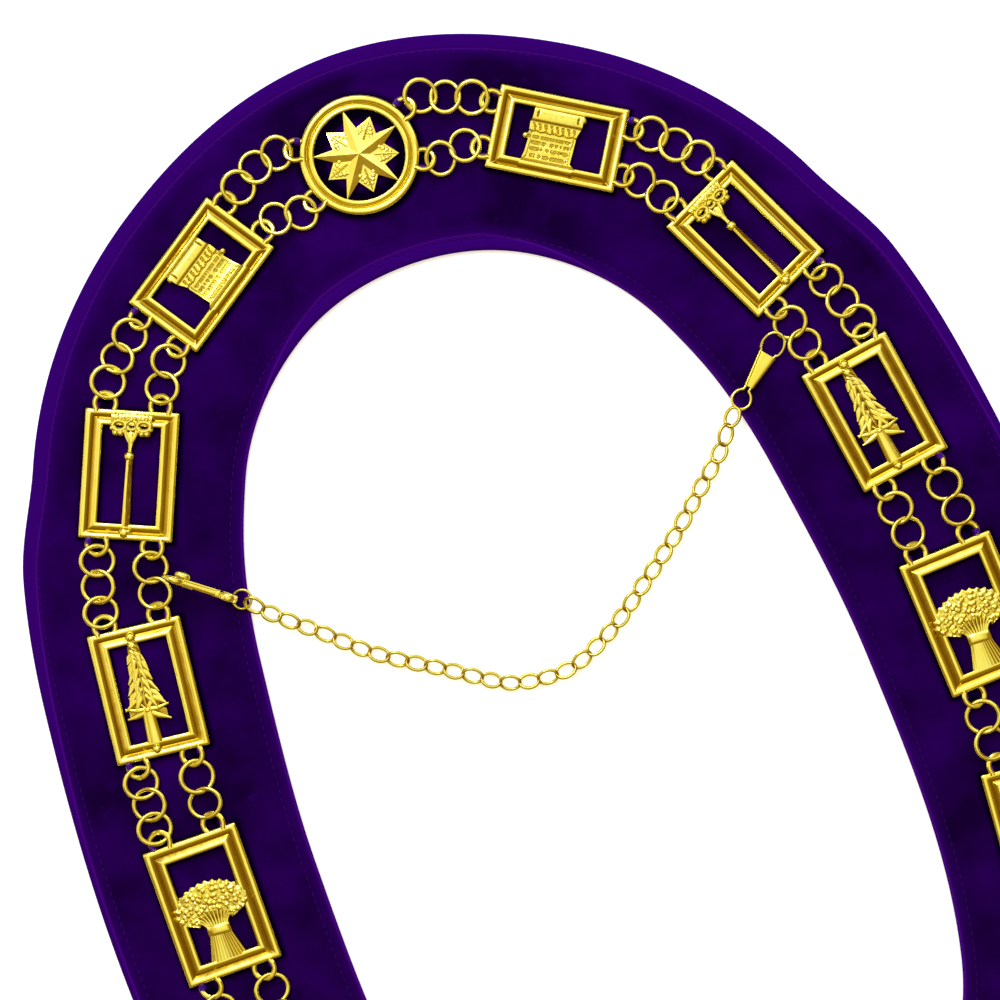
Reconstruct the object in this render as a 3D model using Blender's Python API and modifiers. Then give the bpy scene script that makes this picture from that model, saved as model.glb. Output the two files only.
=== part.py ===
"""Chain collar of regalia: a velvet horseshoe that carries a gilt double chain.

The collar lies flat on its back. X runs across it, +Y points to the nape, +Z is up,
and the origin is under the middle of its box. The right half has +X.
"""
import math
from collections import namedtuple

import bmesh
import bpy
from mathutils import Matrix, Vector

COLLECTION = "chain_collar"

# ---------------------------------------------------------------- driving dimensions, metres
# The chain's middle line runs from the nape to the point of the V, here for the right half.
# A row is one bend; outer and inner are the cloth's widths beside the line at its lower end.
Bend = namedtuple("Bend", "length turn outer inner")
NAPE_OUTER = 0.0418
NAPE_INNER = 0.0476
BENDS = (
    Bend(0.0800, 32.5, 0.0383, 0.0468),
    Bend(0.0856, 33.0, 0.0390, 0.0461),
    Bend(0.0394, 8.0, 0.0432, 0.0456),
    Bend(0.0470, 9.0, 0.0428, 0.0458),
    Bend(0.0890, 6.0, 0.0435, 0.0441),
    Bend(0.0910, 7.0, 0.0435, 0.0422),
    Bend(0.0480, 9.0, 0.0435, 0.0420),
    Bend(0.0880, 34.5, 0.0435, 0.0420),
)
NAPE_Y = 0.28793

# Cloth: a stiff padded band, flat below, with rolled edges.
CLOTH_THICKNESS = 0.0030
DEGREES_A_SECTION = 4.8

# Every piece lies on the one below it with this gap.
GAP = 0.0003
METAL_BASE = CLOTH_THICKNESS + GAP

# Medallion rails: a rim, a hollow and an inner ridge. A row is a share of the rail's width,
# counted from the outside, and the height there.
Moulding = namedtuple("Moulding", "share height")
MOULDINGS = (
    Moulding(0.00, 0.0000),
    Moulding(0.00, 0.0017),
    Moulding(0.14, 0.0024),
    Moulding(0.40, 0.0011),
    Moulding(0.80, 0.0022),
    Moulding(0.92, 0.0022),
    Moulding(1.00, 0.0015),
    Moulding(1.00, 0.0000),
)

# Rectangular medallions: where each pair sits along the middle line, and its own sizes.
Plaque = namedtuple("Plaque", "name along half_width half_length side_rail end_rail eye_offset")
PLAQUES = (
    Plaque("scroll", 0.0800, 0.0160, 0.0255, 0.0054, 0.0068, 0.0090),
    Plaque("sceptre", 0.1656, 0.0180, 0.0255, 0.0074, 0.0058, 0.0108),
    Plaque("sword", 0.2520, 0.0183, 0.0259, 0.0074, 0.0058, 0.0108),
    Plaque("sheaf", 0.3410, 0.0189, 0.0276, 0.0074, 0.0062, 0.0108),
    Plaque("upper_plain", 0.4320, 0.0185, 0.0270, 0.0074, 0.0060, 0.0108),
)
LEG_NAMES = ("middle_plain", "lower_plain")

# The emblems' flat backs stand this far above the frames'.
CASTING_BACK = 0.0003

# Emblems, as simple solids on the frame's own axes. A drum points up +Y before it is turned, its
# flat is its height over its width, and x, y and z are its foot's middle or a ball's middle.
Drum = namedtuple("Drum", "low high length sides flat x y z turn")
Ball = namedtuple("Ball", "radius flat x y z")
Hoop = namedtuple("Hoop", "radius_x radius_y wire x y z")
Slab = namedtuple("Slab", "width length height x y z")

# A written scroll with its head towards +X: the sheet, the rolled head, the rolled foot, a knob.
SCROLL = (
    Slab(0.0236, 0.0190, 0.0016, -0.0012, 0.0, 0.0016),
    Drum(0.0024, 0.0024, 0.0202, 8, 0.62, 0.0086, -0.0101, 0.0020, 0.0),
    Drum(0.0013, 0.0013, 0.0212, 6, 0.90, -0.0127, -0.0085, 0.0019, 0.0),
    Ball(0.0019, 0.7, 0.0010, 0.0100, 0.0020),
)

# A sceptre: shaft, bead, neck, two arms with a loop each, the crown's middle loop, the end ball.
SCEPTRE = (
    Drum(0.0019, 0.0014, 0.0250, 6, 0.70, 0.0, -0.0200, 0.0016, 0.0),
    Ball(0.0020, 1.0, 0.0, 0.0072, 0.0017),
    Drum(0.0010, 0.0016, 0.0080, 6, 0.70, 0.0, 0.0066, 0.0015, 0.0),
    Drum(0.0010, 0.0009, 0.0066, 5, 0.80, -0.0002, 0.0131, 0.0015, 40.0),
    Hoop(0.0026, 0.0028, 0.0009, -0.0056, 0.0190, 0.0020),
    Drum(0.0010, 0.0009, 0.0066, 5, 0.80, 0.0002, 0.0131, 0.0017, -40.0),
    Hoop(0.0026, 0.0028, 0.0009, 0.0056, 0.0190, 0.0020),
    Hoop(0.0031, 0.0027, 0.0008, 0.0, 0.0194, 0.0017),
    Ball(0.0022, 0.8, 0.0, -0.0226, 0.0020),
)

# A sword hilt under a veil of leaves: handle, leaf tiers from the top, ribbon tails, end ball.
SWORD = (
    Drum(0.0033, 0.0015, 0.0130, 8, 0.45, 0.0, -0.0204, 0.0014, 0.0),
    Drum(0.0017, 0.0015, 0.0098, 8, 0.32, 0.0, 0.0130, 0.0013, 0.0),
    Drum(0.0040, 0.0016, 0.0070, 8, 0.32, 0.0, 0.0090, 0.0013, 0.0),
    Drum(0.0055, 0.0024, 0.0080, 8, 0.32, 0.0, 0.0035, 0.0013, 0.0),
    Drum(0.0067, 0.0034, 0.0070, 8, 0.32, 0.0, -0.0015, 0.0013, 0.0),
    Drum(0.0078, 0.0040, 0.0070, 8, 0.32, 0.0, -0.0062, 0.0013, 0.0),
    Drum(0.0010, 0.0020, 0.0092, 5, 0.60, 0.0, -0.0075, 0.0015, 103.0),
    Drum(0.0010, 0.0020, 0.0092, 5, 0.60, 0.0, -0.0075, 0.0015, -103.0),
    Ball(0.0017, 0.9, 0.0, -0.0226, 0.0020),
)

# A sheaf of grain: stalks that flare down from a band, and ears that fan from rail to rail.
SHEAF_STALKS = (
    Drum(0.0084, 0.0036, 0.0160, 8, 0.26, 0.0, -0.0240, 0.0014, 0.0),
    Drum(0.0045, 0.0045, 0.0028, 8, 0.46, 0.0, -0.0103, 0.0012, 0.0),
)
EAR = Drum(0.0012, 0.0037, 0.0186, 5, 0.40, 0.0, -0.0085, 0.0015, 0.0)
EAR_COUNT = 7
EAR_SPREAD = 22.0
EAR_SHORTER_AT_SIDE = 0.0030
EAR_OVERLAP = 0.00004

# The star: two faceted five-pointed stars, the broad one turned by half a point.
StarRow = namedtuple("StarRow", "tip valley foot rim apex turn")
STARS = (
    StarRow(0.0186, 0.0098, 0.0004, 0.0010, 0.0042, 0.0),
    StarRow(0.0156, 0.0109, 0.0002, 0.0008, 0.0026, 36.0),
)

# Round medallions at the nape and at the point of the V.
ROUND_RADIUS = 0.0238
ROUND_RAIL = 0.0056
ROUND_STEPS = 20
ROUND_EYE_ANGLE = 25.0

# Eyes: bent wire soldered to the medallions, which the first and last rings hook into.
EYE_HALF_WIDTH = 0.0038
EYE_REACH = 0.0080
EYE_ROUND_REACH = 0.0070
EYE_WIRE = 0.0007
EYE_ROOT = 0.0010
EYE_HEIGHT = 0.00135

# Strands: the outline of a run of wire rings.
STRAND_WIDTH = 0.0144
STRAND_HEIGHT = 0.0034
STRAND_SIDES = 6
STRAND_SECTIONS = 3
STRAND_BASE = METAL_BASE

# Snaps at the ends of the safety chain: spring wire bent round, in a folded sheet sleeve.
SNAP_WIRE = 0.0006
SNAP_LENGTH = 0.0336
SNAP_EYE_RADIUS = 0.0037
SNAP_EYE_OPEN = 25.0
SNAP_BOW_WIDTH = 0.0036
SNAP_BOW_LENGTH = 0.0045
SLEEVE_START = 0.0086
SLEEVE_END = 0.0232
SLEEVE_NARROW = 0.0019
SLEEVE_WIDE = 0.0039
SLEEVE_HALF_HEIGHT = 0.0010
SLEEVE_CORNER = 0.0004
SLEEVE_SHEET = 0.0005
SNAP_LIFT = 0.0024

# Safety chain: the outline of its oval links.
CHAIN_RADIUS = 0.0024
CHAIN_STEP = 0.0105
CHAIN_ON_FLOOR = CHAIN_RADIUS + 0.0001
CHAIN_ON_CLOTH = METAL_BASE + CHAIN_RADIUS


# ---------------------------------------------------------------- plain helpers
def collection(name):
    """Make a collection in the scene."""
    group = bpy.data.collections.new(name)
    bpy.context.scene.collection.children.link(group)
    return group


def material(name, colour, roughness, metallic):
    """Make a Principled material."""
    mat = bpy.data.materials.new(name)
    mat.use_nodes = True
    shader = mat.node_tree.nodes["Principled BSDF"]
    shader.inputs["Base Color"].default_value = (*colour, 1.0)
    shader.inputs["Roughness"].default_value = roughness
    shader.inputs["Metallic"].default_value = metallic
    mat.diffuse_color = (*colour, 1.0)
    return mat


def gilt(name):
    """Bright gilt metal for one piece."""
    return material(name + "_gilt", (0.83, 0.61, 0.12), 0.24, 1.0)


def put(name, mesh, finish):
    """Place a mesh in the collar's collection under a node's name."""
    piece = bpy.data.objects.new(name, mesh)
    if not mesh.materials:
        mesh.materials.append(finish)
    piece.material_slots[0].link = "OBJECT"
    piece.material_slots[0].material = finish
    parts.objects.link(piece)
    return piece


def mesh_of(build):
    """Turn a bmesh into a mesh with outward faces."""
    bmesh.ops.recalc_face_normals(build, faces=build.faces)
    mesh = bpy.data.meshes.new("shape")
    build.to_mesh(mesh)
    build.free()
    return mesh


def loft(sections, ring=False, caps=True):
    """Join sections of equally many points with faces, round in a ring or with closed ends."""
    build = bmesh.new()
    rows = [[build.verts.new(point) for point in section] for section in sections]
    count = len(rows[0])
    pairs = list(zip(rows, rows[1:]))
    if ring:
        pairs.append((rows[-1], rows[0]))
    for low, high in pairs:
        for i in range(count):
            j = (i + 1) % count
            build.faces.new((low[i], low[j], high[j], high[i]))
    if caps and not ring:
        build.faces.new(rows[0])
        build.faces.new(rows[-1])
    return mesh_of(build)


def tube(points, radius, resolution=0):
    """A round wire or tube along points, with closed ends."""
    curve = bpy.data.curves.new("route", "CURVE")
    curve.dimensions = "3D"
    curve.bevel_depth = radius
    curve.bevel_resolution = resolution
    curve.use_fill_caps = True
    spline = curve.splines.new("POLY")
    spline.points.add(len(points) - 1)
    for spot, point in zip(spline.points, points):
        spot.co = (*point, 1.0)
    guide = bpy.data.objects.new("route", curve)
    bpy.context.scene.collection.objects.link(guide)
    bpy.context.view_layer.update()
    graph = bpy.context.evaluated_depsgraph_get()
    mesh = bpy.data.meshes.new_from_object(guide.evaluated_get(graph))
    bpy.data.objects.remove(guide)
    bpy.data.curves.remove(curve)
    build = bmesh.new()
    build.from_mesh(mesh)
    bmesh.ops.remove_doubles(build, verts=build.verts, dist=0.00001)
    return mesh_of(build)


def cone(low, high, length, sides, flat=1.0):
    """A cone or drum that points up +Y, with its foot at the origin, flattened in Z."""
    build = bmesh.new()
    bmesh.ops.create_cone(build, cap_ends=True, segments=sides, radius1=low, radius2=high, depth=length)
    bmesh.ops.rotate(build, verts=build.verts, matrix=Matrix.Rotation(-math.pi / 2, 3, "X"))
    bmesh.ops.translate(build, verts=build.verts, vec=(0.0, length / 2, 0.0))
    bmesh.ops.scale(build, verts=build.verts, vec=(1.0, 1.0, flat))
    return mesh_of(build)


def ball(radius, flat=1.0, sides=6):
    """A small ball, flattened in Z."""
    build = bmesh.new()
    bmesh.ops.create_uvsphere(build, u_segments=sides, v_segments=sides // 2 + 1, radius=radius)
    bmesh.ops.scale(build, verts=build.verts, vec=(1.0, 1.0, flat))
    return mesh_of(build)


def hoop(radius_x, radius_y, wire, steps=6, sides=4):
    """A closed oval ring of wire that lies round the origin."""
    sections = []
    for i in range(steps):
        around = 2 * math.pi * (i + 0.5) / steps
        spot = Vector((radius_x * math.cos(around), radius_y * math.sin(around), 0.0))
        out = Vector((math.cos(around), math.sin(around), 0.0))
        sections.append([
            spot + wire * (math.cos(a) * out + math.sin(a) * Vector((0, 0, 1)))
            for a in (2 * math.pi * k / sides for k in range(sides))
        ])
    return loft(sections, ring=True)


def block(width, length, height):
    """A box round the origin."""
    build = bmesh.new()
    bmesh.ops.create_cube(build, size=1.0)
    bmesh.ops.scale(build, verts=build.verts, vec=(width, length, height))
    return mesh_of(build)


def moved(mesh, x=0.0, y=0.0, z=0.0, turn=0.0):
    """Turn a mesh about Z, in degrees, then move it."""
    mesh.transform(Matrix.Translation((x, y, z)) @ Matrix.Rotation(math.radians(turn), 4, "Z"))
    return mesh


def flat_backed(mesh):
    """Cut a shape off at the back of its casting."""
    build = bmesh.new()
    build.from_mesh(mesh)
    bpy.data.meshes.remove(mesh)
    bmesh.ops.bisect_plane(
        build, geom=build.verts[:] + build.edges[:] + build.faces[:], dist=0.000001,
        plane_co=(0.0, 0.0, CASTING_BACK), plane_no=(0.0, 0.0, 1.0), clear_inner=True,
    )
    rim = [edge for edge in build.edges if edge.is_boundary]
    if rim:
        bmesh.ops.edgeloop_fill(build, edges=rim)
    return mesh_of(build)


def fused(meshes):
    """Join overlapping closed shapes into one body."""
    bodies = [bpy.data.objects.new("body", mesh) for mesh in meshes]
    for body in bodies:
        cutters.objects.link(body)
    base = bodies[0]
    for other in bodies[1:]:
        join = base.modifiers.new("join", "BOOLEAN")
        join.operation = "UNION"
        join.solver = "EXACT"
        join.object = other
    bpy.context.view_layer.update()
    graph = bpy.context.evaluated_depsgraph_get()
    result = bpy.data.meshes.new_from_object(base.evaluated_get(graph))
    for body in bodies:
        bpy.data.objects.remove(body)
    for mesh in meshes:
        bpy.data.meshes.remove(mesh)
    build = bmesh.new()
    build.from_mesh(result)
    bmesh.ops.triangulate(build, faces=build.faces)
    bmesh.ops.remove_doubles(build, verts=build.verts, dist=0.000002)
    return mesh_of(build)


def arc(centre_x, centre_y, radius_x, radius_y, start, end, steps):
    """Points on an ellipse in the XY plane, from one angle to another in degrees."""
    points = []
    for i in range(steps + 1):
        angle = math.radians(start + (end - start) * i / steps)
        points.append((centre_x + radius_x * math.cos(angle), centre_y + radius_y * math.sin(angle)))
    return points


# ---------------------------------------------------------------- the collar's layout
def middle_line(along):
    """The point and heading of the chain's middle line; the heading is 0 at the nape."""
    x, y, heading, left = 0.0, NAPE_Y, 0.0, along
    for bend in BENDS:
        step = min(left, bend.length)
        half_turn = math.radians(bend.turn) * step / bend.length / 2
        chord = step * math.sin(half_turn) / half_turn if half_turn else step
        x += chord * math.cos(heading + half_turn)
        y -= chord * math.sin(heading + half_turn)
        heading += 2 * half_turn
        left -= step
    return Vector((x + left * math.cos(heading), y - left * math.sin(heading), 0.0)), heading


def outward(heading):
    """The direction across the chain, away from the neck."""
    return Vector((math.sin(heading), math.cos(heading), 0.0))


def onward(heading):
    """The direction along the chain, away from the nape."""
    return Vector((math.cos(heading), -math.sin(heading), 0.0))


def cloth_widths(along):
    """The cloth's outer and inner widths beside the middle line, eased from row to row."""
    outer, inner, start = NAPE_OUTER, NAPE_INNER, 0.0
    for bend in BENDS:
        if along <= start + bend.length:
            share = (along - start) / bend.length
            ease = share * share * (3 - 2 * share)
            return outer + (bend.outer - outer) * ease, inner + (bend.inner - inner) * ease
        outer, inner = bend.outer, bend.inner
        start += bend.length
    return outer, inner


BENDS_END = sum(bend.length for bend in BENDS)


def point_of_v():
    """How far along the middle line it reaches the collar's axis."""
    last, heading = middle_line(BENDS_END)
    return BENDS_END - last.x / math.cos(heading)


V_ALONG = point_of_v()


def plaque_rows():
    """All pairs of rectangular medallions, with the plain ones of the legs evenly spaced."""
    last = PLAQUES[-1]
    pitch = (V_ALONG - last.along) / (len(LEG_NAMES) + 1)
    rows = list(PLAQUES)
    for i, name in enumerate(LEG_NAMES):
        rows.append(last._replace(name=name, along=last.along + (i + 1) * pitch))
    return rows


def placed(along, side, flip=False):
    """Where a medallion goes: its +Y points back to the nape, or away from it if flipped."""
    spot, heading = middle_line(along)
    turn = math.pi / 2 - heading + (math.pi if flip else 0.0)
    spot.z = METAL_BASE
    return Matrix.Translation((side * spot.x, spot.y, spot.z)) @ Matrix.Rotation(side * turn, 4, "Z")


# ---------------------------------------------------------------- velvet collar
def cloth_lanes(outer, inner):
    """The cloth's section as (across, height) points, outwards positive."""
    top = CLOTH_THICKNESS
    return (
        (-inner + 0.0008, 0.0),
        (outer - 0.0008, 0.0),
        (outer, 0.4 * top),
        (outer - 0.0010, 0.8 * top),
        (outer - 0.0045, top),
        (-inner + 0.0045, top),
        (-inner + 0.0010, 0.8 * top),
        (-inner, 0.4 * top),
    )


def cloth_sections():
    """Sections across the cloth down one half, the last one mitred on the collar's axis."""
    stations = [0.0]
    for bend in BENDS:
        steps = max(2, math.ceil(bend.turn / DEGREES_A_SECTION))
        start = stations[-1]
        stations += [start + bend.length * (i + 1) / steps for i in range(steps)]
    sections = []
    for along in stations:
        spot, heading = middle_line(along)
        lanes = cloth_lanes(*cloth_widths(along))
        sections.append([spot + across * outward(heading) + Vector((0, 0, z)) for across, z in lanes])
    ahead = onward(heading)
    sections.append([point - ahead * (point.x / ahead.x) for point in sections[-1]])
    for point in sections[0] + sections[-1]:
        point.x = 0.0
    return sections


def velvet_collar():
    """The whole cloth: one half, open on the axis, and its mirror image."""
    mesh = loft(cloth_sections(), caps=False)
    piece = put("velvet_collar", mesh, material("purple_velvet", (0.030, 0.002, 0.085), 0.85, 0.0))
    mirror = piece.modifiers.new("other half", "MIRROR")
    mirror.use_axis = (True, False, False)
    mirror.merge_threshold = 0.00005
    return piece


# ---------------------------------------------------------------- medallions
def frame_mesh(plaque):
    """A moulded rectangular frame with mitred corners."""
    sections = []
    for side_x, side_y in ((1, 1), (-1, 1), (-1, -1), (1, -1)):
        sections.append([
            Vector((
                side_x * (plaque.half_width - row.share * plaque.side_rail),
                side_y * (plaque.half_length - row.share * plaque.end_rail),
                row.height,
            ))
            for row in MOULDINGS
        ])
    return loft(sections, ring=True)


def round_mesh():
    """A moulded round frame."""
    sections = []
    for i in range(ROUND_STEPS):
        turn = Matrix.Rotation(2 * math.pi * i / ROUND_STEPS, 3, "Z")
        sections.append([
            turn @ Vector((ROUND_RADIUS - row.share * ROUND_RAIL, 0.0, row.height)) for row in MOULDINGS
        ])
    return loft(sections, ring=True)


def eye_mesh(reach):
    """A bent wire eye that stands out along +Y from an edge on the X axis."""
    radius = EYE_HALF_WIDTH
    bend_start = reach - EYE_WIRE - radius
    points = [(radius, -EYE_ROOT)]
    points += arc(0.0, bend_start, radius, radius, 0, 180, 3)
    points += [(-radius, -EYE_ROOT)]
    return tube([(x, y, EYE_HEIGHT) for x, y in points], EYE_WIRE)


def plaque_eyes(plaque):
    """The four eyes of a rectangular medallion."""
    eyes = []
    for end_turn in (0, 180):
        for side in (1, -1):
            eye = moved(eye_mesh(EYE_REACH), x=side * plaque.eye_offset, y=plaque.half_length)
            eyes.append(moved(eye, turn=end_turn))
    return eyes


def round_eyes(middle_angle):
    """The four eyes of a round medallion, two each side; the angle is the right pair's middle."""
    eyes = []
    for middle in (middle_angle, 180 - middle_angle):
        for spread in (ROUND_EYE_ANGLE, -ROUND_EYE_ANGLE):
            eyes.append(moved(moved(eye_mesh(EYE_ROUND_REACH), y=ROUND_RADIUS), turn=middle + spread - 90))
    return eyes


def star_mesh(row):
    """A five-pointed faceted star whose ridges rise to its middle."""
    build = bmesh.new()
    rings = []
    for height in (row.foot, row.rim):
        ring = []
        for i in range(10):
            angle = math.radians(90 + row.turn + 36 * i)
            radius = row.valley if i % 2 else row.tip
            ring.append(build.verts.new((radius * math.cos(angle), radius * math.sin(angle), height)))
        rings.append(ring)
    peak = build.verts.new((0.0, 0.0, row.apex))
    for i in range(10):
        j = (i + 1) % 10
        build.faces.new((rings[0][i], rings[0][j], rings[1][j], rings[1][i]))
        build.faces.new((rings[1][i], rings[1][j], peak))
    build.faces.new(rings[0])
    return mesh_of(build)


def emblem_body(row):
    """One solid of an emblem, flat at the back of its casting."""
    if isinstance(row, Drum):
        mesh = moved(cone(row.low, row.high, row.length, row.sides, row.flat), turn=row.turn)
    elif isinstance(row, Ball):
        mesh = ball(row.radius, row.flat)
    elif isinstance(row, Hoop):
        mesh = hoop(row.radius_x, row.radius_y, row.wire)
    else:
        mesh = block(row.width, row.length, row.height)
    return flat_backed(moved(mesh, row.x, row.y, row.z))


def sheaf_rows():
    """The sheaf's solids: its stalks, then ears fanned like fingers, each a little higher."""
    rows = list(SHEAF_STALKS)
    for i in range(EAR_COUNT):
        lean = (i - (EAR_COUNT - 1) / 2) * EAR_SPREAD
        length = EAR.length - EAR_SHORTER_AT_SIDE * abs(math.sin(math.radians(lean)))
        rows.append(EAR._replace(length=length, z=EAR.z + EAR_OVERLAP * i, turn=-lean))
    return rows


EMBLEMS = {"scroll": SCROLL, "sceptre": SCEPTRE, "sword": SWORD, "sheaf": sheaf_rows()}


def medallions():
    """All medallions, each pair from one pattern."""
    for plaque in plaque_rows():
        emblem = [emblem_body(row) for row in EMBLEMS.get(plaque.name, ())]
        mesh = fused([frame_mesh(plaque)] + emblem + plaque_eyes(plaque))
        for word, side in (("left", -1), ("right", 1)):
            name = "_".join((word, plaque.name, "plaque"))
            piece = put(name, mesh, gilt(name))
            piece.matrix_world = placed(plaque.along, side, plaque.name == "scroll" and side < 0)
    stars = [star_mesh(row) for row in STARS]
    star = put("star_medallion", fused([round_mesh()] + stars + round_eyes(0.0)), gilt("star_medallion"))
    star.matrix_world = Matrix.Translation((0.0, NAPE_Y, METAL_BASE))
    spot, heading = middle_line(V_ALONG)
    leg_angle = math.degrees(heading) - 180
    point = put("point_medallion", fused([round_mesh()] + round_eyes(-leg_angle)), gilt("point_medallion"))
    point.matrix_world = Matrix.Translation((0.0, spot.y, METAL_BASE))


# ---------------------------------------------------------------- strands of rings
def plaque_eye_tip(plaque, end, lane):
    """The tip of an eye and its direction; end is -1 towards the nape, lane +1 outside."""
    spot, heading = middle_line(plaque.along)
    ahead = end * onward(heading)
    tip = spot + ahead * (plaque.half_length + EYE_REACH) + lane * plaque.eye_offset * outward(heading)
    return tip, ahead


def round_eye_tip(along, end, lane):
    """The same on a round medallion, whose eyes stand out like rays."""
    spot, heading = middle_line(along)
    spread = math.radians(ROUND_EYE_ANGLE)
    ray = end * onward(heading) * math.cos(spread) + lane * outward(heading) * math.sin(spread)
    return spot + ray * (ROUND_RADIUS + EYE_ROUND_REACH), ray


def strand_section(spot, ahead):
    """A strand's flat oval section at a point, square to its direction."""
    across = Vector((ahead.y, -ahead.x, 0.0)).normalized()
    rise = Vector((0.0, 0.0, 1.0))
    middle = spot + (STRAND_BASE + STRAND_HEIGHT / 2) * rise
    angles = [2 * math.pi * i / STRAND_SIDES for i in range(STRAND_SIDES)]
    return [
        middle + STRAND_WIDTH / 2 * math.cos(a) * across + STRAND_HEIGHT / 2 * math.sin(a) * rise
        for a in angles
    ]


def strand_mesh(first, last, side):
    """A smooth run from one eye to the next, clear of both."""
    start = first[0] + first[1] * GAP
    end = last[0] + last[1] * GAP
    pull = (end - start).length * 0.38
    stops = (start, start + first[1] * pull, end + last[1] * pull, end)
    sections = []
    for i in range(STRAND_SECTIONS):
        t = i / (STRAND_SECTIONS - 1)
        weights = ((1 - t) ** 3, 3 * t * (1 - t) ** 2, 3 * t * t * (1 - t), t ** 3)
        slopes = ((1 - t) ** 2, 2 * t * (1 - t), t * t)
        spot = sum((w * stop for w, stop in zip(weights, stops)), Vector())
        ahead = sum((s * (far - near) for s, near, far in zip(slopes, stops, stops[1:])), Vector())
        sections.append([Vector((side * p.x, p.y, p.z)) for p in strand_section(spot, ahead)])
    return loft(sections)


def strands():
    """Two strands in each gap between medallions, on both sides."""
    rows = plaque_rows()
    stops = [("nape", None)] + [(row.name, row) for row in rows] + [("point", None)]
    for (low_name, low), (high_name, high) in zip(stops, stops[1:]):
        for lane_word, lane in (("outer", 1), ("inner", -1)):
            first = plaque_eye_tip(low, 1, lane) if low else round_eye_tip(0.0, 1, lane)
            last = plaque_eye_tip(high, -1, lane) if high else round_eye_tip(V_ALONG, -1, lane)
            for word, side in (("left", -1), ("right", 1)):
                name = "_".join((word, low_name, high_name, lane_word, "strand"))
                put(name, strand_mesh(first, last, side), gilt(name))


# ---------------------------------------------------------------- safety chain and its snaps
def snap_wire_mesh():
    """Spring wire: a small eye at the origin's end, legs through the sleeve and a big loop."""
    eye_middle = SNAP_WIRE + SNAP_EYE_RADIUS
    eye_start = 90 + SNAP_EYE_OPEN
    eye_end = 450 - SNAP_EYE_OPEN
    eye = arc(0.0, eye_middle, SNAP_EYE_RADIUS, SNAP_EYE_RADIUS, eye_start, eye_end, 9)
    bow_middle = SNAP_LENGTH - SNAP_WIRE - SNAP_BOW_LENGTH
    bow = arc(0.0, bow_middle, SNAP_BOW_WIDTH, SNAP_BOW_LENGTH, 0, 180, 6)
    neck = SLEEVE_NARROW - SNAP_WIRE - GAP
    mouth = SLEEVE_WIDE - SNAP_WIRE - GAP
    route = [(-neck, SLEEVE_START + 2 * SNAP_WIRE)] + eye + [(neck, SLEEVE_START)]
    route += [(mouth, SLEEVE_END)] + bow + [(-mouth, SLEEVE_END)]
    route += [(-mouth + SNAP_WIRE, SLEEVE_END - SNAP_BOW_LENGTH)]
    points = []
    for x, y in route:
        beyond = max(0.0, y - SLEEVE_END) / (SNAP_LENGTH - SLEEVE_END)
        points.append((x, y, SNAP_LIFT * beyond))
    return tube(points, SNAP_WIRE)


def snap_sleeve_mesh():
    """The folded sleeve: a tapered flat tube of sheet, open at both ends."""
    sections = []
    for y, half in ((SLEEVE_START, SLEEVE_NARROW), (SLEEVE_END, SLEEVE_WIDE)):
        high = SLEEVE_HALF_HEIGHT
        flat = half - SLEEVE_CORNER
        low = high - SLEEVE_CORNER
        upper = [(half, low), (flat, high), (-flat, high), (-half, low)]
        lower = [(-x, -z) for x, z in upper]
        sections.append([Vector((x, y, z)) for x, z in upper + lower])
    return loft(sections, caps=False)


# A snap's small eye, as (across, from the nape's medallion down, height), and its lie in degrees.
Snap = namedtuple("Snap", "side across down height heading rise roll")
SNAPS = (
    Snap("right", 0.1055, 0.1494, METAL_BASE + SLEEVE_HALF_HEIGHT + SLEEVE_SHEET, -45.5, 0.0, 0.0),
    Snap("left", -0.1088, 0.1480, METAL_BASE + SNAP_EYE_RADIUS + 2 * SNAP_WIRE + 0.0004, 53.0, 9.5, 90.0),
)


def snap_matrix(snap):
    """Lay a snap down: roll about its length, raise its loop, then turn it to its heading."""
    spot = Matrix.Translation((snap.across, NAPE_Y - snap.down, snap.height))
    turn = Matrix.Rotation(math.radians(snap.heading), 4, "Z")
    rise = Matrix.Rotation(math.radians(snap.rise), 4, "X")
    roll = Matrix.Rotation(math.radians(snap.roll), 4, "Y")
    return spot @ turn @ rise @ roll


def snaps():
    """Both snaps, each a wire and a sleeve."""
    for snap in SNAPS:
        lie = snap_matrix(snap)
        wire = put(snap.side + "_snap_wire", snap_wire_mesh(), gilt(snap.side + "_snap_wire"))
        wire.matrix_world = lie
        sleeve = put(snap.side + "_snap_sleeve", snap_sleeve_mesh(), gilt(snap.side + "_snap_sleeve"))
        wall = sleeve.modifiers.new("sheet", "SOLIDIFY")
        wall.thickness = SLEEVE_SHEET
        wall.offset = 1.0
        wall.use_even_offset = True
        sleeve.matrix_world = lie


# The chain's route from the left snap to the right one, seen from above: (across, down).
CHAIN_ROUTE = (
    (-0.1070, 0.1502, CHAIN_ON_CLOTH),
    (-0.1020, 0.1548, CHAIN_ON_CLOTH),
    (-0.0960, 0.1610, 0.0040),
    (-0.0833, 0.1714, CHAIN_ON_FLOOR),
    (-0.0651, 0.1879, CHAIN_ON_FLOOR),
    (-0.0412, 0.2038, CHAIN_ON_FLOOR),
    (-0.0228, 0.2161, CHAIN_ON_FLOOR),
    (-0.0140, 0.2200, CHAIN_ON_FLOOR),
    (0.0021, 0.2227, CHAIN_ON_FLOOR),
    (0.0158, 0.2185, CHAIN_ON_FLOOR),
    (0.0299, 0.2102, CHAIN_ON_FLOOR),
    (0.0427, 0.2013, CHAIN_ON_FLOOR),
    (0.0558, 0.1920, CHAIN_ON_FLOOR),
    (0.0682, 0.1823, CHAIN_ON_FLOOR),
    (0.0798, 0.1722, CHAIN_ON_FLOOR),
    (0.0919, 0.1616, 0.0036),
    (0.0980, 0.1560, CHAIN_ON_CLOTH),
    (0.1040, 0.1508, CHAIN_ON_CLOTH),
)


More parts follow.
